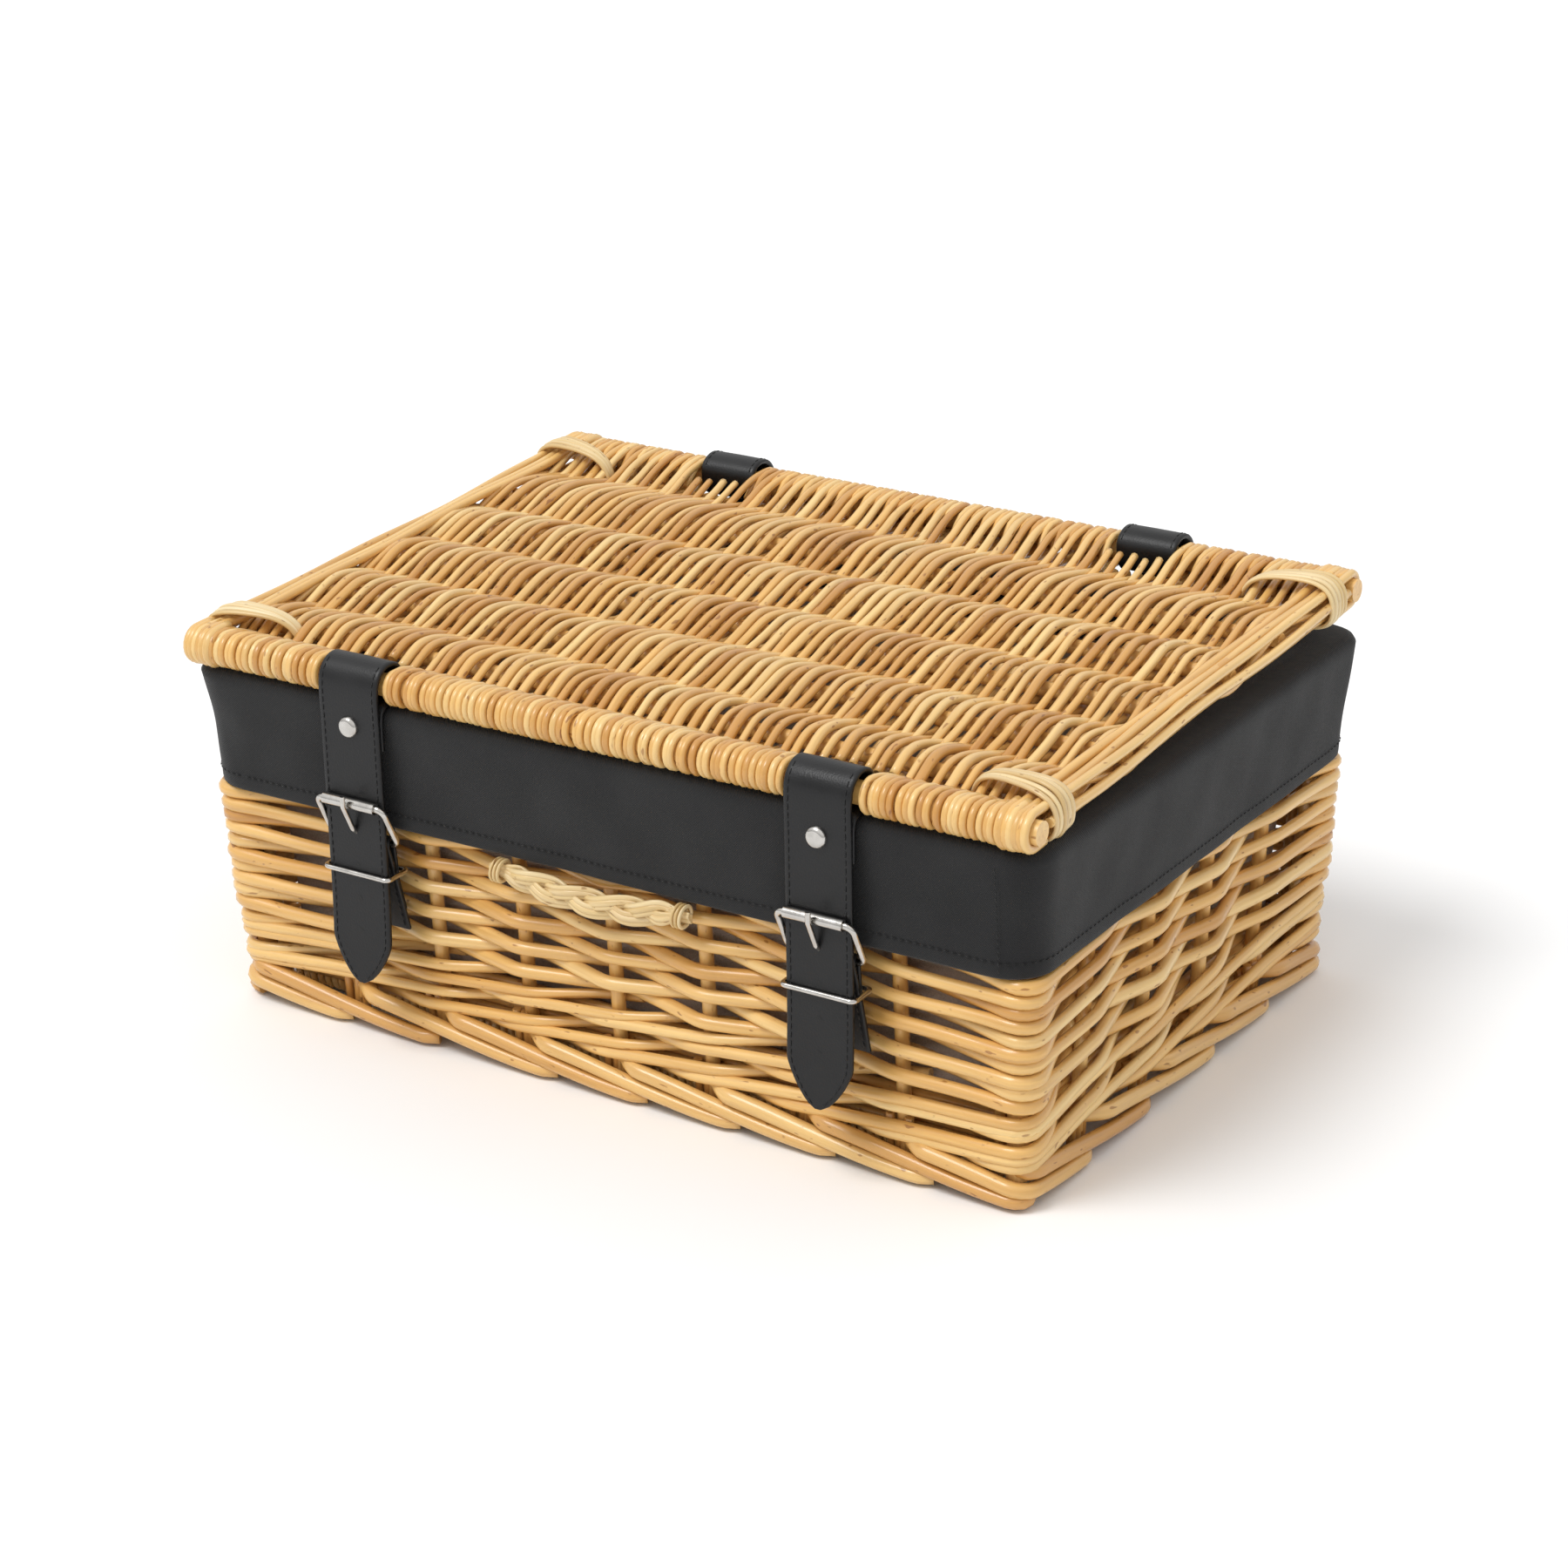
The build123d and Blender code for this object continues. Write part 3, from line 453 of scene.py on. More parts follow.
def level(z, phase):
    """Height along a level rod, which wanders a little."""
    return lambda s: z + 0.55 * sin(s / 37.0 + phase) + 0.35 * sin(s / 13.0 + 2 * phase)


def swell(path, z):
    """Rods are a little fuller where they bend round a post."""
    x, y = np.abs(np.array(path))[:, :2].T
    near = np.clip((x - half_length(z) + SWELL_START) / SWELL_RUN, 0, 1)
    near *= np.clip((y - half_width(z) + SWELL_START) / SWELL_RUN, 0, 1)
    return 1 + SWELL * near


weave = Rods()
for row in range(WEAVE_ROWS):
    z = WEAVE_BOTTOM + WEAVE_PITCH * row
    loop = Loop(z)
    hidden = z > HIDDEN_ABOVE
    radius = HIDDEN_RADIUS if hidden else WEAVE_RADIUS + rng.uniform(-0.25, 0.3)
    stations = []
    inside = []
    for i, s in enumerate(loop.stakes):
        out = (i + row) % 2 == 0
        stations.append((s, (STAKE_RADIUS + radius) * (1 if out else -1)))
        in_front_wall = i < WALL_STAKES[0][0]
        if not out and not in_front_wall:
            inside.append(s)
    turn_out = radius + (HIDDEN_CORNER_GAP if hidden else CORNER_GAP)
    for start, end in loop.corners():
        stations += [(start, turn_out), (end, turn_out)]
    stations = sorted([(s + lap * loop.total, out) for s, out in stations for lap in (-1, 0, 1)])
    cuts = sorted(rng.sample(inside, 2))
    cuts.append(cuts[0] + loop.total)
    for start, end in zip(cuts, cuts[1:]):
        height = level(z, rng.uniform(0, 6.3))
        step = 6.0 if hidden else 3.2
        path = loop.path(stations, start - ROD_END, end + ROD_END, height, step, bent)
        taper = np.linspace(1.08, 0.92, len(path)) * radius * swell(path, z)
        weave.add(path, taper, Z_AXIS, rng.uniform(0.1, 0.95), 6 if hidden else 9)
# A second stake stands on each side of every corner post
for x_sign, y_sign in CORNERS:
    for back_x, back_y in ((BESIDE_POST, 0.0), (0.0, BESIDE_POST)):
        path = [(x_sign * (half_length(z) - back_x), y_sign * (half_width(z) - back_y), z)
                for z in np.linspace(12.0, 158.0, 12)]
        weave.add(path, BESIDE_POST_RADIUS, X_AXIS, rng.uniform(0.2, 0.8))
weave.make("wall_weave", willow_rods, "basket", "willow", [f"{wall}_weave" for wall in WALLS])

# Waling under it: level rods inside, and strands that rise outside two stakes and end behind a third
INNER_HEIGHTS, INNER_RADIUS, INNER_OFFSET = (16.0, 21.4, 26.8, 32.2, 37.6), 2.7, -6.2
WALE_HEIGHTS, WALE_RADIUS, WALE_RISE = (25.5, 40.5), 2.85, 15.0
WALE_OUT, WALE_IN, WALE_END, WALE_CORNER_GAP = 6.2, -5.9, -7.0, 5.7
WALE_LEAD, WALE_TAIL = 12, 10  # how far a strand runs on past the stakes behind which it ends


def rising(low, start, end):
    """Height along a strand of the waling."""
    return lambda s: low + WALE_RISE * (s - start) / (end - start)


wale = Rods()
for z in INNER_HEIGHTS:
    loop = Loop(z)
    stations = [(0.0, INNER_OFFSET), (loop.total, INNER_OFFSET)]
    path = loop.path(stations, 0.0, loop.total, lambda s: z, 8.0)
    wale.add(path, INNER_RADIUS, Z_AXIS, rng.uniform(0.1, 0.6), 6)
for middle in WALE_HEIGHTS:
    loop = Loop(middle)
    count = len(loop.stakes)
    for i in range(count):
        a, b, c, d = [loop.stakes[k % count] + loop.total * (k // count) for k in range(i, i + 4)]
        radius = WALE_RADIUS + rng.uniform(-0.2, 0.3)
        stations = [(a - WALE_LEAD - 2, WALE_END), (a, WALE_IN), (b, WALE_OUT), (c, WALE_OUT),
                    (d, WALE_IN), (d + WALE_TAIL + 2, WALE_END)]
        for start, end in loop.corners():
            for lap in (0, loop.total):
                if a < start + lap < d:
                    stations += [(s + lap, WALE_CORNER_GAP + radius) for s in (start, end)]
        stations.sort()
        low = middle - WALE_RISE / 2 + rng.uniform(-0.8, 0.8)
        path = loop.path(stations, a - WALE_LEAD, d + WALE_TAIL, rising(low, a, d), 3.5)
        taper = np.linspace(1.08, 0.9, len(path)) * radius
        wale.add(path, taper, Z_AXIS, rng.uniform(0.35, 1.0))
wale.make("wall_wale", willow_rods, "basket", "willow", [f"{wall}_wale" for wall in WALLS])

# Foot border: thick rods that come out behind each stake and run down over the next two
FOOT_Z, FOOT_RADIUS = 10.0, 4.0
FOOT_LEAD, FOOT_REACH = 8, 120  # a rod starts before its stake and ends past it by these
FOOT_COURSE = ((-9, -4.0), (-4, -2.0), (16, 8.6), (112, 9.8), (122, 6.0))  # (past its stake, offset)
FOOT_LOW, FOOT_FALL = 4.5, 15.5
STAKE_END_SHIFTS, STAKE_END_RADIUS = (-7.0, -2.2, 2.6, 7.0), 2.1
STAKE_END_BOTTOM, STAKE_END_TOP = 5.0, 27.0


def falling(start):
    """Height along a rod of the foot border that comes out at a place."""
    return lambda s: FOOT_LOW + FOOT_FALL * (1 - ease((s - start + 20) / 150)) ** 1.15


foot = Rods()
loop = Loop(FOOT_Z)
for s in sorted(loop.stakes + [start for start, end in loop.corners()]):
    radius = FOOT_RADIUS + rng.uniform(-0.25, 0.25)
    stations = [(s + past, offset) for past, offset in FOOT_COURSE]
    path = loop.path(stations, s - FOOT_LEAD, s + FOOT_REACH, falling(s), 3.0)
    taper = np.concatenate([np.linspace(0.92, 1.0, 6), np.linspace(1.0, 0.86, len(path) - 6)])
    foot.add(path, taper * radius, Z_AXIS, rng.uniform(0.15, 0.95), 10)
# Three or four thin ends beside each stake, which show between the rods
for s in loop.stakes:
    for shift in STAKE_END_SHIFTS[:3 + int(s) % 2]:
        rise = STAKE_END_TOP + rng.uniform(-3, 3) - STAKE_END_BOTTOM
        lean_by = rng.uniform(-1.5, 1.5)
        path = [loop.point(s + shift + lean_by * t, 1.6 + 0.8 * t, STAKE_END_BOTTOM + rise * t)
                for t in np.linspace(0, 1, 6)]
        foot.add(path, STAKE_END_RADIUS, X_AXIS, rng.uniform(0.0, 0.5), 7)
foot.make("foot_border_rods", willow_foot, "basket", "willow", ["foot_border"])

# Base mat: rods over and under the base sticks, with a half turn round the two outer ones
BASE_RODS, BASE_ROD_RADIUS, BASE_HALF_LENGTH, BASE_Z = 91, 1.9, 200.0, 11.0
BASE_STICKS, BASE_EDGE, BASE_PITCH, BASE_LIFT = 7, 126.1, 42.033, 5.4
half_turn = np.linspace(-pi / 2, pi / 2, 7)
base = Rods()
for j in range(BASE_RODS):
    x = -BASE_HALF_LENGTH + 2 * BASE_HALF_LENGTH * j / (BASE_RODS - 1) + rng.uniform(-0.4, 0.4)
    side = 1 if j % 2 else -1
    stations = [(-BASE_EDGE + BASE_PITCH * i, side * (-1) ** i * BASE_LIFT) for i in range(BASE_STICKS)]
    first_lift, last_lift = stations[0][1], stations[-1][1]
    path = [(x, -BASE_EDGE - BASE_LIFT * cos(t), BASE_Z + first_lift * sin(t)) for t in half_turn]
    path += [(x, y, BASE_Z + between(stations, y)) for y in np.arange(-121.0, 122.0, 5.5)]
    path += [(x, BASE_EDGE + BASE_LIFT * cos(t), BASE_Z + last_lift * sin(t)) for t in half_turn[::-1]]
    base.add(path, BASE_ROD_RADIUS, X_AXIS, rng.uniform(0.1, 0.9), 6)
base.make("base_weave_rods", willow_rods, "basket", "willow", ["base_weave"])

# Lid: rods over and under the middle sticks, every second one turned round both edge sticks
LID_PASSES, LID_HALF_LENGTH = 124, 215.0
LID_ROD_RADIUS, WRAP_RADIUS = 2.1, 1.85
ROLL = EDGE_STICK_RADIUS + 1.7
HINGE_SLOT, STRAP_SLOT = 18.5, 19.5  # half widths left open for the leather
HINGE_STOP, STRAP_STOP = 19.0, 18.0  # how far from the edge sticks the rods stop there
BESIDE_HINGE, HINGE_CLEAR = (15.5, 20.0), 19.2  # rods beside a hinge are drawn aside to clear it
TAIL = (9.0, 5.0, 2.0)  # points of the end of a turned rod, in from its edge stick
edge_turn = np.linspace(-pi / 2, 1.3, 10)


def rear_turn(x, roll, face=1):
    """From the far side of the lid round the rear stick to its face: 1 is the top, -1 the underside."""
    tail = [lid_point(x, v, -face * roll) for v in TAIL]
    return tail + [lid_point(x, -roll * cos(t), face * roll * sin(t)) for t in edge_turn]


def front_turn(x, roll, face=1):
    """From the face of the lid round the front stick to its far side."""
    turn = [lid_point(x, LID_DEPTH + roll * cos(t), face * roll * sin(t)) for t in edge_turn[::-1]]
    return turn + [lid_point(x, LID_DEPTH - v, -face * roll) for v in reversed(TAIL)]


# The other rods pass below the edge sticks, and have a wrap above: (in from the stick, off the middle)
wrap = [(9.0, -ROLL), (4.0, -ROLL)]
wrap += [(-ROLL * cos(t), ROLL * sin(t)) for t in edge_turn]
wrap += [(4.0, ROLL - 0.2), (9.0, ROLL - 1.6), (14.0, ROLL - 5.0), (19.0, -2.0)]

lid = Rods()
for j in range(LID_PASSES):
    across = -LID_HALF_LENGTH + 2 * LID_HALF_LENGTH * j / (LID_PASSES - 1) + rng.uniform(-0.5, 0.5)
    aside = 0.0
    for hinge in (-HINGE_X, HINGE_X):
        if BESIDE_HINGE[0] < abs(across - hinge) < BESIDE_HINGE[1]:
            aside = hinge + (HINGE_CLEAR if across > hinge else -HINGE_CLEAR) - across
    radius = LID_ROD_RADIUS + rng.uniform(-0.3, 0.35)
    upper = j % 2 == 0
    side = 1 if upper else -1
    stations = [(0.0, side * ROLL)]
    for i, v in enumerate(MIDDLE_STICKS):
        lift = MIDDLE_STICK_RADIUS + radius + rng.uniform(-0.2, 0.8)
        stations.append((v + rng.uniform(-2, 2), -side * (-1) ** i * lift))
    stations.append((LID_DEPTH, side * ROLL))
    drifts = [(v, rng.uniform(-1.1, 1.1)) for v in np.linspace(0.0, LID_DEPTH, 13)]

    def x_at(v):
        """Place across the lid of this rod, which swings, slants and drifts on its way."""
        swing = 2.6 * sin(across / 47.0 + v / 80.0) * sin(pi * v / LID_DEPTH)
        slant = 0.9 * sin(2 * pi * (v - MIDDLE_STICKS[0]) / 50.0)
        return across + swing + slant + between(drifts, v) + aside * (1 - ease(v / 60.0))

    path = []
    first, last = 0.0, LID_DEPTH
    if abs(abs(across + aside) - HINGE_X) < HINGE_SLOT:
        first = HINGE_STOP + rng.uniform(-1, 2)
    elif upper:
        path += rear_turn(x_at(0), ROLL)
    if abs(abs(across) - STRAP_X) < STRAP_SLOT:
        last = LID_DEPTH - STRAP_STOP + rng.uniform(-2, 1)
    path += [lid_point(x_at(v), v, between(stations, v)) for v in np.arange(first, last + 0.1, 2.8)]
    if last == LID_DEPTH and upper:
        path += front_turn(x_at(last), ROLL)
    taper = np.linspace(1.06, 0.94, len(path))
    if j % 4 >= 2:
        taper = taper[::-1]
    tone = rng.uniform(0.0, 1.0)
    if upper:
        steps = np.arange(len(path))
        near_end = np.minimum(steps, steps[::-1])
        thinner = np.clip((22.0 - near_end) / 8.0, 0.0, 1.0)
        lid.add(path, taper * (radius + (WRAP_RADIUS - radius) * thinner), X_AXIS, tone)
    else:
        lid.add(path, taper * radius, X_AXIS, tone)
        if first == 0.0:
            lid.add([lid_point(x_at(v), v, n) for v, n in wrap], WRAP_RADIUS, X_AXIS, tone)
        if last == LID_DEPTH:
            front_wrap = [lid_point(x_at(LID_DEPTH - v), LID_DEPTH - v, n) for v, n in wrap]
            lid.add(front_wrap, WRAP_RADIUS, X_AXIS, tone)
lid.make("lid_weave_rods", willow_rods, "lid", "willow", ["lid_weave"])

# Rods along both ends of the lid: above, below and outside the stick ends, and woven between them
END_RODS = ((217.0, 1), (221.2, 1), (225.6, 1), (213.8, -1), (218.5, -1), (223.5, -1))  # (x, face)
END_ROD_RADIUS = 2.2
OUTER_ROD_X, OUTER_ROD_RADIUS = 228.0, 2.3
WOVEN_ROD_X, WOVEN_ROD_RADIUS, WOVEN_ROD_GAP = (216.4, 220.2, 224.2), 2.0, 2.1

edge = Rods()
for x_sign in (-1, 1):
    for place, face in END_RODS:
        radius = END_ROD_RADIUS + rng.uniform(-0.1, 0.25)
        roll = EDGE_STICK_RADIUS + radius
        phase, bow = rng.uniform(0, 6.3), rng.uniform(0.4, 1.6)
        path = rear_turn(x_sign * place, roll, face)
        for v in np.arange(0.0, LID_DEPTH + 0.1, 4.0):
            sag = ease(v / 40.0) * ease((LID_DEPTH - v) / 40.0)
            lift = roll + (MIDDLE_STICK_RADIUS - EDGE_STICK_RADIUS + 0.5 * sin(v / 19.0 + phase)) * sag
            inset = bow * sin(pi * v / LID_DEPTH) + 0.7 * sin(v / 41.0 + phase)
            path.append(lid_point(x_sign * (place - inset), v, face * lift))
        path += front_turn(x_sign * place, roll, face)
        edge.add(path, radius, X_AXIS, rng.uniform(0.3, 0.95))
    path = [lid_point(x_sign * (OUTER_ROD_X + 0.4 * sin(v / 33.0)), v, 0.9 * sin(v / 24.0 + x_sign))
            for v in np.arange(7.0, LID_DEPTH - 6.0, 4.0)]
    edge.add(path, OUTER_ROD_RADIUS, X_AXIS, rng.uniform(0.3, 0.8))
    for k, place in enumerate(WOVEN_ROD_X):
        stations = [(0.0, -EDGE_STICK_RADIUS - WOVEN_ROD_GAP)]
        for i, v in enumerate(MIDDLE_STICKS):
            stations.append((v, (-1) ** (i + k) * (MIDDLE_STICK_RADIUS + WOVEN_ROD_GAP)))
        stations.append((LID_DEPTH, -EDGE_STICK_RADIUS - WOVEN_ROD_GAP))
        path = [lid_point(x_sign * place, v, between(stations, v)) for v in np.arange(0.0, LID_DEPTH, 3.0)]
        edge.add(path, WOVEN_ROD_RADIUS, X_AXIS, rng.uniform(0.2, 0.8))
edge.make("lid_side_rods", willow_rods, "lid", "willow", ["lid_side_rods_left", "lid_side_rods_right"])

# Corner lashings: skeins that come up through the weave together and fan out over the end rods
LASHING_COURSE = (  # (x, height off the lid's middle, share of the fan)
    (183.0, -2.0, 0.25), (185.0, 4.5, 0.3), (190.0, 9.0, 0.4), (198.0, 11.4, 0.55), (208.0, 12.2, 0.75),
    (217.0, 12.3, 0.9), (224.0, 11.0, 1.0), (228.6, 7.5, 1.0), (230.2, 2.5, 1.0), (230.3, -2.5, 1.0),
    (228.6, -7.0, 1.0), (224.0, -10.2, 0.95), (214.0, -10.4, 0.8), (204.0, -8.6, 0.7),
)
LASHING_PLACES = ((21.0, 1), (LID_DEPTH - 19.0, -1))  # (along the lid's slope, way to its middle)
SKEINS, SKEIN_FAN, SKEIN_LEAN, SKEIN_RADIUS, SKEIN_FLATNESS = 5, 3.5, 9.0, 1.5, 0.72


def smoothed(course, count, width):
    """A course at even steps, rounded by a running mean."""
    steps = np.linspace(0, len(course) - 1, count)
    columns = []
    for values in np.array(course).T:
        padded = np.pad(np.interp(steps, np.arange(len(course)), values), width // 2, mode="edge")
        columns.append(sum(padded[i:i + count] for i in range(width)) / width)
    return np.stack(columns, axis=1)


lashing_line = smoothed(LASHING_COURSE, 57, 7)
lashing = Rods()
for x_sign in (-1, 1):
    for v0, way in LASHING_PLACES:
        for k in range(SKEINS):
            fan = (k - SKEINS // 2) * SKEIN_FAN
            rise = 1.3 - 0.6 * abs(k - SKEINS // 2) + rng.uniform(-0.3, 0.3)
            path = []
            for x, n, share in lashing_line:
                lean_in = way * (1.0 - share) * SKEIN_LEAN
                off = n + (rise if n > 0 else -rise) * share
                path.append(lid_point(x_sign * x, v0 + fan * share + lean_in, off))
            thin = np.cross(np.gradient(np.array(path), axis=0), (0.0, -cos(TILT), -sin(TILT)))
            thin /= np.linalg.norm(thin, axis=1)[:, None]
            radius = SKEIN_RADIUS + rng.uniform(-0.1, 0.15)
            lashing.add(path, radius, thin, rng.uniform(0.1, 1.0), 10, SKEIN_FLATNESS)
lashing.make("corner_lashing_skeins", willow_skein, "lid", "skein", ["corner_lashings"])

# Lining: a skirt folded over the rim, and the bag inside

LONG_STEPS, SHORT_STEPS, CORNER_STEPS = 64, 44, 8


def rounded_ring(half_x, half_y, corner, z, wrinkle):
    """Points round a rounded rectangle, moved out and in by a wrinkle of the place round it."""
    arcs = []
    for quarter, (x_sign, y_sign) in enumerate(((1, -1), (1, 1), (-1, 1), (-1, -1))):
        x, y = x_sign * (half_x - corner), y_sign * (half_y - corner)
        turns = [(quarter - 1 + k / CORNER_STEPS) * pi / 2 for k in range(CORNER_STEPS + 1)]
        arcs.append([(x + corner * cos(t), y + corner * sin(t), cos(t), sin(t)) for t in turns])
    line = []
    for i, arc in enumerate(arcs):
        start, end = arcs[i - 1][-1], arc[0]
        steps = LONG_STEPS if i % 2 == 0 else SHORT_STEPS
        for k in range(1, steps):
            line.append([a + (b - a) * (k / steps) for a, b in zip(start, end)])
        line += arc
    points = []
    place = 0.0
    last = line[-1]
    for x, y, out_x, out_y in line:
        place += ((x - last[0]) ** 2 + (y - last[1]) ** 2) ** 0.5
        last = (x, y)
        out = wrinkle(place, z)
        points.append((x + out_x * out, y + out_y * out, z))
    return points


def ripple(place, z):
    """Soft uneven pull of the cloth over the rim, strongest halfway down."""
    share = min(max((178.0 - z) / 60.0, 0.0), 1.0)
    soft = 0.7 * sin(place / 58.0 + z / 41.0) + 0.5 * sin(place / 23.0 - z / 27.0 + 1.1)
    fine = 0.28 * sin(place / 9.7 + z / 13.0 + 0.4) + 0.2 * sin(place / 6.1 - z / 8.0)
    return (soft + fine) * (0.25 + 0.75 * sin(pi * share) + 0.25 * share)


def bag_fold(place, z):
    """Slack folds of the bag, still where it is sewn at its top."""
    share = min(max((160.0 - z) / 90.0, 0.0), 1.0)
    return -share * (1.0 + 0.7 * sin(place / 31.0 + z / 37.0) + 0.5 * sin(place / 12.0 - z / 19.0))


def no_fold(place, z):
    return 0.0


def flare(t):
    """How far the skirt stands out from its hem, at a share of its rise."""
    return 4.2 * t ** 1.2


# The skirt from its turned hem over the rim to its end inside: (half length, half width, height)
HEM_HALF_LENGTH, HEM_HALF_WIDTH, HEM_Z, SKIRT_RISE = 227.1, 159.1, 119.0, 51.0
SKIRT_CORNER, RIM_CORNER, RIM_Z = 20.0, 18.5, 171.0
skirt_line = [(224.6, 156.6, 125.0), (224.9, 156.9, 119.0), (225.4, 157.4, 116.3), (226.3, 158.3, 115.7),
              (226.9, 158.9, 116.6), (HEM_HALF_LENGTH, HEM_HALF_WIDTH, HEM_Z)]
for t in np.linspace(0.06, 1, 16):
    skirt_line.append((HEM_HALF_LENGTH + flare(t), HEM_HALF_WIDTH + flare(t), HEM_Z + SKIRT_RISE * t))
skirt_line += [(231.2, 163.2, 172.6), (230.2, 162.2, 174.8), (228.0, 160.0, 176.0), (224.0, 156.0, 176.4),
               (218.5, 148.5, 176.3), (212.0, 142.0, 175.7), (208.2, 138.2, 173.8), (206.6, 136.6, 170.0),
               (206.0, 136.0, 165.0), (205.6, 135.6, 159.0), (205.4, 135.4, 154.0)]
rings = [rounded_ring(x, y, SKIRT_CORNER if z < RIM_Z else RIM_CORNER, z, ripple) for x, y, z in skirt_line]
skirt_mesh = grid_mesh("lining_skirt_cloth", rings)
skirt = place_piece("lining_skirt_cloth", skirt_mesh, cotton, "basket", ["lining_skirt"])

BAG_INSET, BAG_CORNER, BAG_TOP, BAG_FOOT = 10.4, 5.0, 159.5, 25.0
# The bag's floor as rings of (inset, height)
BAG_FLOOR = ((12.5, 21.6), (18.0, 20.8), (40.0, 20.5), (70.0, 20.7), (100.0, 20.4), (126.0, 20.5))
rings = [rounded_ring(half_length(z) - BAG_INSET, half_width(z) - BAG_INSET, BAG_CORNER, z, bag_fold)
         for z in np.linspace(BAG_TOP, BAG_FOOT, 24)]
for inset, z in BAG_FLOOR:
    corner = max(5.5 - inset / 30, 1.5)
    rings.append(rounded_ring(half_length(z) - inset, half_width(z) - inset, corner, z, no_fold))
bag = place_piece("lining_bag_cloth", grid_mesh("lining_bag_cloth", rings), bag_cotton_painted_light, "basket",
                  [f"lining_{wall}_panel" for wall in WALLS] + ["lining_floor_panel"])


def stitch_line(rods, points, radius, ref, dash, gap):
    """Short threads along a line of points."""
    points = np.asarray(points, float)
    run = run_along(points)
    at = 0.0
    while at + dash < run[-1]:
        places = (at, at + dash / 2, at + dash)
        spots = [[np.interp(place, run, points[:, c]) for c in range(3)] for place in places]
        rods.add(spots, [radius * 0.6, radius, radius * 0.6], ref, 0.5, 5)
        at += dash + gap


# Stitches: hem of the skirt, and its upright seam near the front right corner
COTTON_THREAD, SEAM_X, SEAM_LIFT = 0.3, 211.0, 0.8
HEM_LIFT, HEM_STITCH_Z = 0.65, 123.5
stitches = Rods()
hem = rounded_ring(HEM_HALF_LENGTH + HEM_LIFT, HEM_HALF_WIDTH + HEM_LIFT, SKIRT_CORNER + 0.6,
                   HEM_STITCH_Z, ripple)
stitch_line(stitches, hem + hem[:1], COTTON_THREAD, Z_AXIS, dash=2.6, gap=1.1)
seam = [(SEAM_X, -HEM_HALF_WIDTH - flare(t) - SEAM_LIFT, HEM_Z + SKIRT_RISE * t)
        for t in np.linspace(0, 1, 12)]
stitch_line(stitches, seam, COTTON_THREAD, X_AXIS, dash=2.4, gap=1.0)
stitches = stitches.make("lining_stitches", cotton_thread, "basket", "lining")

# Leather

LEATHER_THREAD = 0.34


def leather_strip(name, x, path, half, thickness, outward, body, replaced):
    """A strip of leather along a (y, z) path, with a half width at each point of it.

    Gives the outward direction at each point.
    """
    ahead = np.gradient(path, axis=0)
    ahead /= np.linalg.norm(ahead, axis=1)[:, None]
    out = np.stack([-ahead[:, 1], ahead[:, 0]], axis=1) * outward
    t = thickness / 2
    rings = []
    for (y, z), (ny, nz), w in zip(path, out, half):
        soft = min(0.7, w * 0.5)
        face = [(-w + soft, t), (-w + 3 * soft, t), (0, t + 0.12), (w - 3 * soft, t), (w - soft, t)]
        rim = [(w - 0.25 * soft, t * 0.6), (w, 0), (w - 0.25 * soft, -t * 0.6)]
        back = [(w - soft, -t), (0, -t), (-w + soft, -t)]
        section = face + rim + back + [(-a, -n) for a, n in rim]
        rings.append([(x + a, y + ny * n, z + nz * n) for a, n in section])
    place_piece(name, grid_mesh(name, rings), leather, body, replaced)
    return out


def soft_path(line, step, times):
    """A (y, z) line at even steps with its corners rounded, and the place of each point along it."""
    line = np.asarray(line, float)
    run = run_along(line)
    places = np.linspace(0, run[-1], int(run[-1] / step) + 1)
    path = np.stack([np.interp(places, run, line[:, c]) for c in range(2)], axis=1)
    for _ in range(times):
        path[1:-1] = (path[:-2] + 2 * path[1:-1] + path[2:]) / 4
    return path, places


def arc_points(centre, radius, start, end, count):
    """Points on an arc in (y, z), between two angles in degrees."""
    turns = np.radians(np.linspace(start, end, count))
    return [(centre[0] + radius * cos(a), centre[1] + radius * sin(a)) for a in turns]


def edge_stitches(name, x, path, out, half, sewn, lift, inset, body):
    """Two rows of stitches on the sewn stretch of a strip's outer face, inside both edges."""
    rods = Rods()
    for x_sign in (-1, 1):
        line = []
        for spot, outward, w in zip(path[sewn], out[sewn], half[sewn]):
            if w > inset + 2.0:
                y, z = spot + outward * lift
                line.append((x + x_sign * (w - inset), y, z))
        stitch_line(rods, line, LEATHER_THREAD, X_AXIS, dash=2.7, gap=1.3)
    rods.make(name, leather_thread_and_hole_shade, body, "leather")


THICKNESS, STITCH_LIFT, STITCH_INSET = 2.5, 1.36, 2.6
STRAP_Y, STRAP_HALF_WIDTH, STRAP_TIP = -168.0, 17.0, 34.0
STRAP_HOLES = (98.0, 81.0, 64.5)  # heights
HINGE_Y, HINGE_HALF_WIDTH = 169.0, 16.0
HEEL = (-162.4726, 109.0)  # the buckles' heel bars, as (y, z)
TAB_THICKNESS, TAB_STITCH_LIFT, TAB_STITCH_INSET, TAB_HALF_WIDTH = 2.0, 1.1, 2.4, 16.5

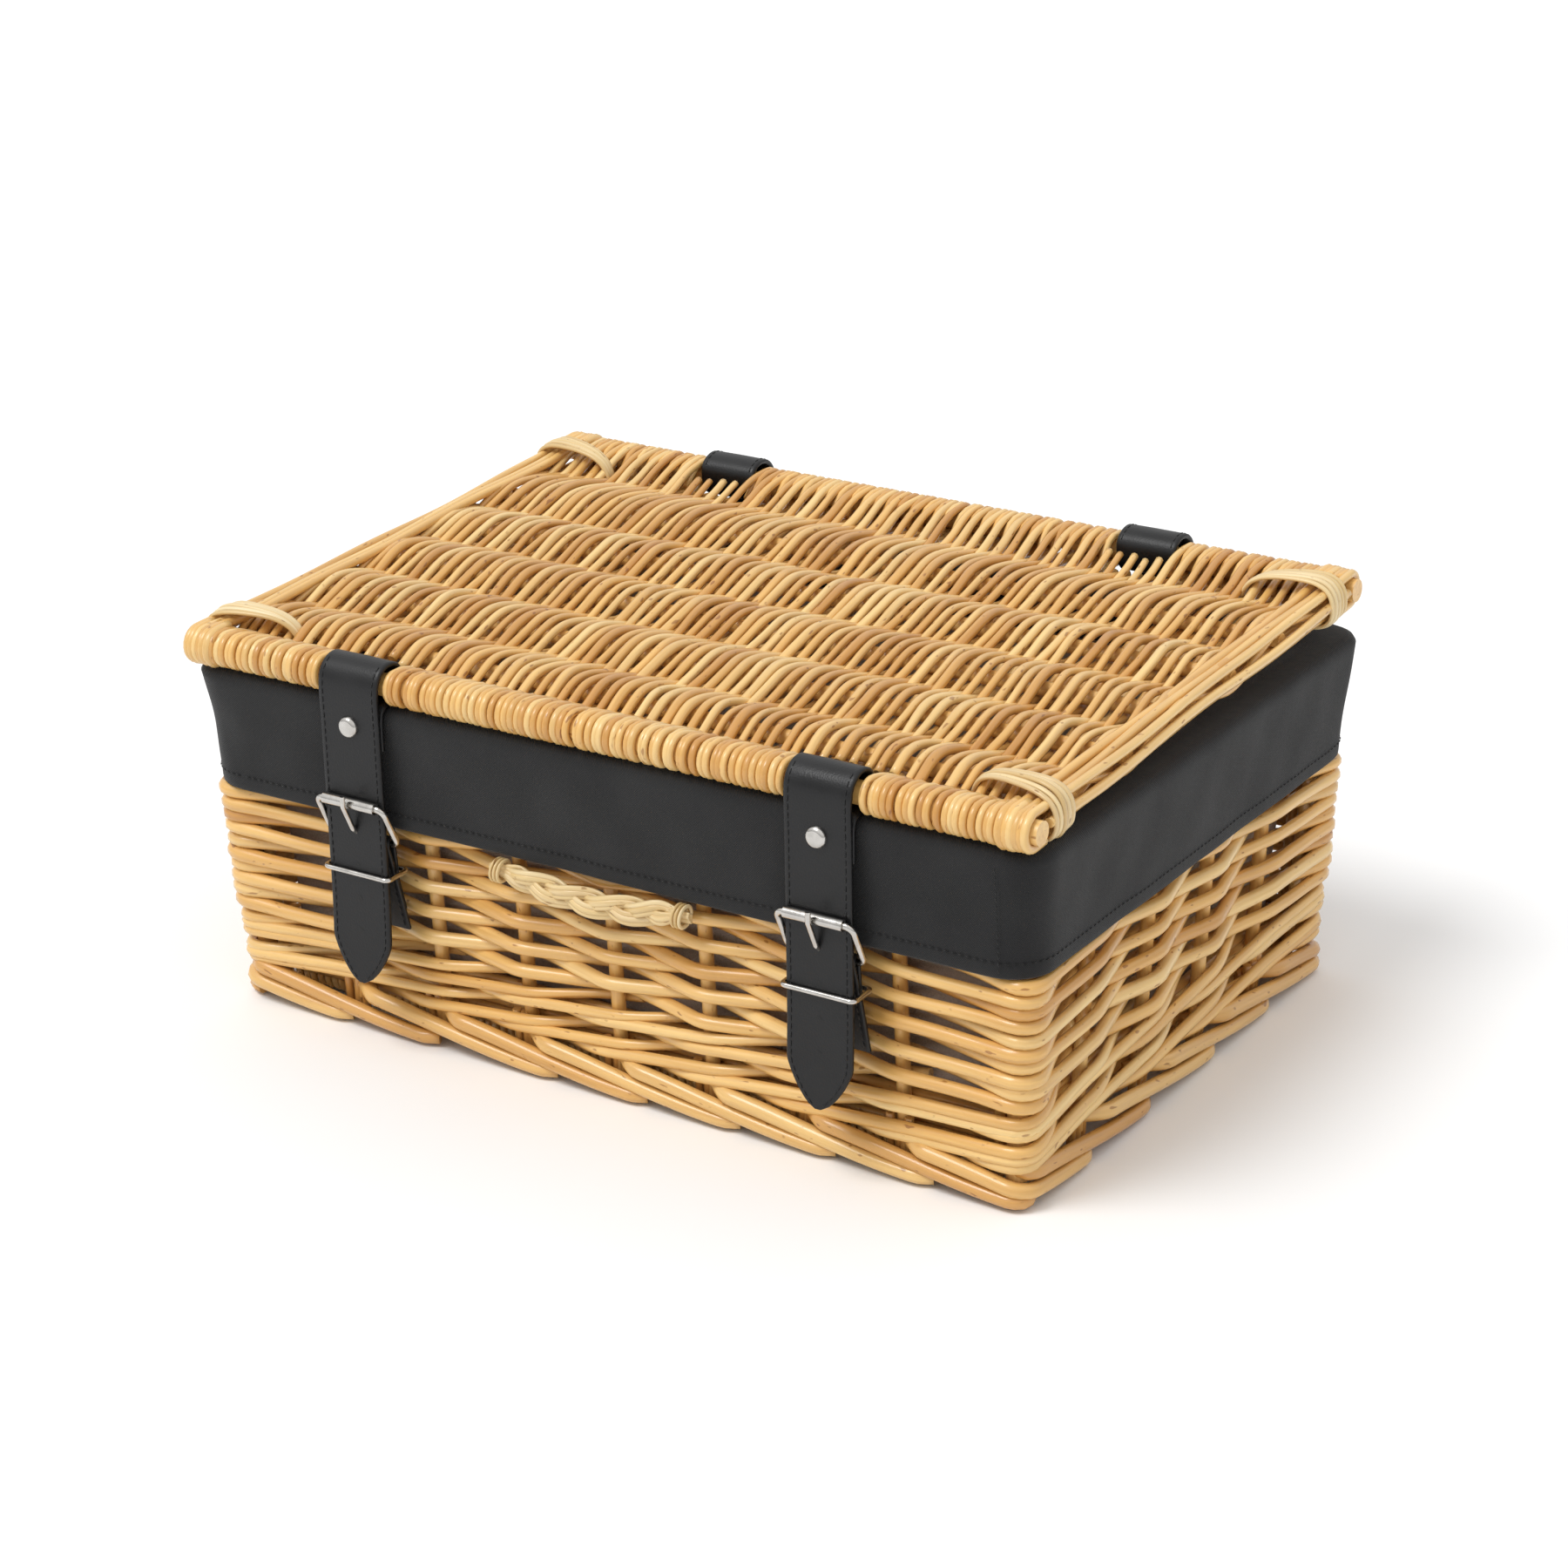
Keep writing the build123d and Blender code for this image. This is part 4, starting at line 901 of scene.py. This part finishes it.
for side, x_sign in SIDES.items():
    # Closing strap: from its tip up the front, round the lid's front stick and down behind itself
    x = x_sign * STRAP_X
    strap = f"strap_{side}"
    line = [(STRAP_Y - 2.6 * max((92.0 - z) / 54.0, 0.0) ** 2, z) for z in np.linspace(38.0, 168.0, 66)]
    line += [(-168.3, 180.0)] + arc_points(FRONT, 10.4, 182, 40, 30) + arc_points(FRONT, 8.6, 20, -90, 20)
    line += [(-162.2, 177.6), (-164.9, 176.0), (-165.5, 172.0), (-165.5, 157.0)]
    path, places = soft_path(line, step=2.0, times=3)
    tip = [0.12 + sin(pi / 2 * min(p / STRAP_TIP, 1.0)) ** 0.68 for p in places]
    half = STRAP_HALF_WIDTH * np.minimum(tip, 1.0)
    out = leather_strip(f"closing_strap_leather_{side}", x, path, half, THICKNESS, 1, strap,
                        [f"closing_strap_{side}"])
    top = int(np.argmax(path[:, 1]))
    edge_stitches(f"strap_stitches_{side}", x, path, out, half, slice(1, top), STITCH_LIFT, STITCH_INSET,
                  strap)
    # The holes are not cut through: a near-black disc stands a little proud of the strap at each, painted
    # shade in place of the hole's depth
    holes = Rods()
    hanging = path[:60]
    for z in STRAP_HOLES:
        y = np.interp(z, hanging[:, 1], hanging[:, 0]) - 1.3
        holes.add([(x, y - 0.14, z), (x, y + 0.5, z)], [1.5, 1.2], X_AXIS, 0.5, 14)
    holes.make(f"strap_holes_{side}", leather_thread_and_hole_shade, strap, "leather")

    # Hinge loop: up the back, round the lid's rear stick and down again under itself
    x = x_sign * HINGE_X
    line = [(HINGE_Y, z) for z in np.linspace(146.0, 180.0, 18)] + [(164.6, 191.5)]
    line += arc_points(REAR, 11.6, 18, 150, 30) + arc_points(REAR, 9.0, 165, 270, 20)
    line += [(158.0, 189.5), (164.2, 188.6), (166.5, 185.6), (166.5, 147.0)]
    path, _ = soft_path(line, step=2.0, times=3)
    half = np.full(len(path), HINGE_HALF_WIDTH)
    out = leather_strip(f"hinge_loop_leather_{side}", x, path, half, THICKNESS, -1, "basket",
                        [f"hinge_loop_{side}"])
    top = int(np.argmax(path[:, 1]))
    edge_stitches(f"hinge_stitches_{side}", x, path, out, half, slice(1, top + 6), STITCH_LIFT, STITCH_INSET,
                  "basket")

    # Buckle tab: up the weave, round the buckle's heel bar and down behind itself
    x = x_sign * STRAP_X
    line = [(-153.1, 62.5), (-165.2, 107.9)] + arc_points(HEEL, 2.95, 195, 5, 14)
    line += [(-159.6, 108.4), (-158.0, 88.5), (-154.0, 73.0)]
    path, places = soft_path(line, step=1.2, times=2)
    half = np.array([TAB_HALF_WIDTH - 1.2 * ease((p - 40) / 20) for p in places])
    out = leather_strip(f"buckle_tab_leather_{side}", x, path, half, TAB_THICKNESS, 1, "basket",
                        [f"buckle_tab_{side}"])
    front = slice(2, int(len(path) * 0.42))
    edge_stitches(f"tab_stitches_{side}", x, path, out, half, front, TAB_STITCH_LIFT, TAB_STITCH_INSET,
                  "basket")

# Plaited handle: three flat strands of three skeins each, drawn together in two small loops
HANDLE_Y, HANDLE_Z, HANDLE_HALF_LENGTH = -160.9, 109.0, 55.0
PLAIT_LENGTH, PLAIT_DEPTH, PLAIT_HEIGHT, HANDLE_SAG = 66.0, 2.3, 3.5, 5.0
STRAND_SPREAD, HANDLE_SKEIN, HANDLE_FLATNESS = 2.1, 1.55, 0.7
LOOP_X, LOOP_RADIUS, LOOP_SKEIN, LOOP_PITCH = 50.0, 5.0, 1.0, 2.0

handle = Rods()
for strand in range(3):
    middle = []
    for u in np.linspace(-HANDLE_HALF_LENGTH, HANDLE_HALF_LENGTH, 111):
        z = HANDLE_Z - HANDLE_SAG * max(0.0, 1 - (u / 46.0) ** 2)
        phase = 2 * pi * (u / PLAIT_LENGTH + strand / 3.0)
        pinch = 1.0 - 0.66 * ease((abs(u) - 35.0) / 13.0)
        y = HANDLE_Y - PLAIT_DEPTH * sin(2 * phase) * pinch
        middle.append((u, y, z + PLAIT_HEIGHT * sin(phase) * pinch))
    middle = np.array(middle)
    across = np.cross(np.gradient(middle, axis=0), Y_AXIS)
    across /= np.linalg.norm(across, axis=1)[:, None]
    width = np.array([STRAND_SPREAD - 1.2 * ease((abs(u) - 38.0) / 12.0) for u in middle[:, 0]])
    radius = HANDLE_SKEIN * (0.5 + 0.5 * width / STRAND_SPREAD)
    for split in (-1, 0, 1):
        path = middle + across * (split * width)[:, None]
        path[:, 1] -= 0.5 if split == 0 else 0.0
        handle.add(path, radius, Y_AXIS, rng.uniform(0.2, 1.0), 8, HANDLE_FLATNESS)
handle.make("handle_plait_skeins", willow_skein, "handle", "skein", ["handle_plait"])
loops = Rods()
for x in (-LOOP_X, LOOP_X):
    for k in (-1, 0, 1):
        path = []
        for t in np.linspace(0, 2 * pi, 25):
            y, z = HANDLE_Y + LOOP_RADIUS * cos(t), HANDLE_Z + LOOP_RADIUS * sin(t)
            path.append((x + LOOP_PITCH * k + 0.5 * sin(t), y, z))
        loops.add(path, LOOP_SKEIN, X_AXIS, rng.uniform(0.2, 0.9), 8, HANDLE_FLATNESS)
loops.make("handle_loop_skeins", willow_skein, "basket", "skein", ["handle_loops"])

# CAD pieces whose shape is right take their material here


def dress(material, *names):
    for name in names:
        node = nodes[name]
        if not node.material_slots:
            node.data.materials.append(material)
        for slot in node.material_slots:
            slot.material = material


dress(willow_stakes, *[f"{wall}_stakes" for wall in WALLS])
dress(willow_sticks, "base_sticks", "rim_border", "lid_rear_stick", "lid_front_stick", "lid_middle_sticks")
dress(nickel, "hinge_rivets", "tab_rivets")
for side in SIDES:
    dress(willow_stakes, f"corner_post_front_{side}", f"corner_post_back_{side}")
    dress(nickel, f"strap_rivet_{side}", f"buckle_frame_{side}", f"buckle_roller_{side}",
          f"buckle_prong_{side}", f"keeper_{side}")

# Floor, light and camera, in metres
FLOOR_HALF = 9
floor_mesh = bpy.data.meshes.new("floor")
floor_corners = [(x * FLOOR_HALF, y * FLOOR_HALF, 0) for x, y in CORNERS]
floor_mesh.from_pydata(floor_corners, [], [(0, 1, 2, 3)])
floor = bpy.data.objects.new("floor", floor_mesh)
bpy.context.scene.collection.objects.link(floor)
paper, tree, shader = new_material("pale_floor")
speck = noise(tree, object_place(tree), 3.0, 2.0)
paper_colour = ramp(tree, speck, ((0.3, (0.93, 0.93, 0.93)), (0.7, (0.95, 0.95, 0.95))))
tree.links.new(paper_colour, shader.inputs["Base Color"])
tree.links.new(spread(tree, speck, 0.88, 0.95), shader.inputs["Roughness"])
shader.inputs["Specular IOR Level"].default_value = 0.1
floor_mesh.materials.append(paper)

# A studio sky, brighter above and in reflections, which the camera sees as plain white
SKY_LIGHT, SKY_SEEN = 0.86, 1.0
SKY_STOPS = ((0.0, (0.50, 0.50, 0.50)), (0.25, (0.75, 0.75, 0.75)), (0.55, WHITE))
world = bpy.data.worlds.new("studio")
bpy.context.scene.world = world
world.use_nodes = True
tree = world.node_tree
background = tree.nodes["Background"]
ray = tree.nodes.new("ShaderNodeLightPath").outputs
glossy = maths(tree, "MAXIMUM", ray["Is Glossy Ray"], ray["Is Transmission Ray"])
seen = maths(tree, "MAXIMUM", ray["Is Camera Ray"], glossy)
sky = tree.nodes.new("ShaderNodeSeparateXYZ")
tree.links.new(tree.nodes.new("ShaderNodeTexCoord").outputs["Generated"], sky.inputs[0])
height = maths(tree, "MAXIMUM", sky.outputs["Z"], ray["Is Camera Ray"])
tree.links.new(ramp(tree, height, SKY_STOPS), background.inputs["Color"])
tree.links.new(spread(tree, seen, SKY_LIGHT, SKY_SEEN, 0.0, 1.0), background.inputs["Strength"])

# The camera was fitted to the photo
AIM = Vector((0.0, 0.0, 0.1))
DISTANCE, SHIFT_RIGHT, SHIFT_UP = 1.8155, 0.0008, 0.0045
azimuth, elevation, roll = radians(32.99), radians(22.34), radians(-1.0)
back = Vector((sin(azimuth) * cos(elevation), -cos(azimuth) * cos(elevation), sin(elevation)))
flat_right = Vector((cos(azimuth), sin(azimuth), 0.0))
flat_up = back.cross(flat_right)
right = flat_right * cos(roll) + flat_up * sin(roll)
up = flat_up * cos(roll) - flat_right * sin(roll)
camera_data = bpy.data.cameras.new("camera")
camera_data.lens = 86.02
camera_data.sensor_width = 36.0
camera = bpy.data.objects.new("camera", camera_data)
bpy.context.scene.collection.objects.link(camera)
place = AIM + back * DISTANCE + right * SHIFT_RIGHT + up * SHIFT_UP
camera.matrix_world = Matrix.Translation(place) @ Matrix((right, up, back)).transposed().to_4x4()
bpy.context.scene.camera = camera

# One soft sun from the upper left, a little behind the camera
SUN_ENERGY, SUN_ANGLE = 1.50, radians(26.0)
away = Vector(Z_AXIS).cross(flat_right)
sunlight = flat_right * 0.55 + away * 0.28 - Vector(Z_AXIS)
lamp = bpy.data.lights.new("key", "SUN")
lamp.energy = SUN_ENERGY
lamp.angle = SUN_ANGLE
sun = bpy.data.objects.new("key", lamp)
bpy.context.scene.collection.objects.link(sun)
sun.rotation_euler = sunlight.to_track_quat("-Z", "Y").to_euler()

bpy.context.scene.view_settings.view_transform = "Standard"
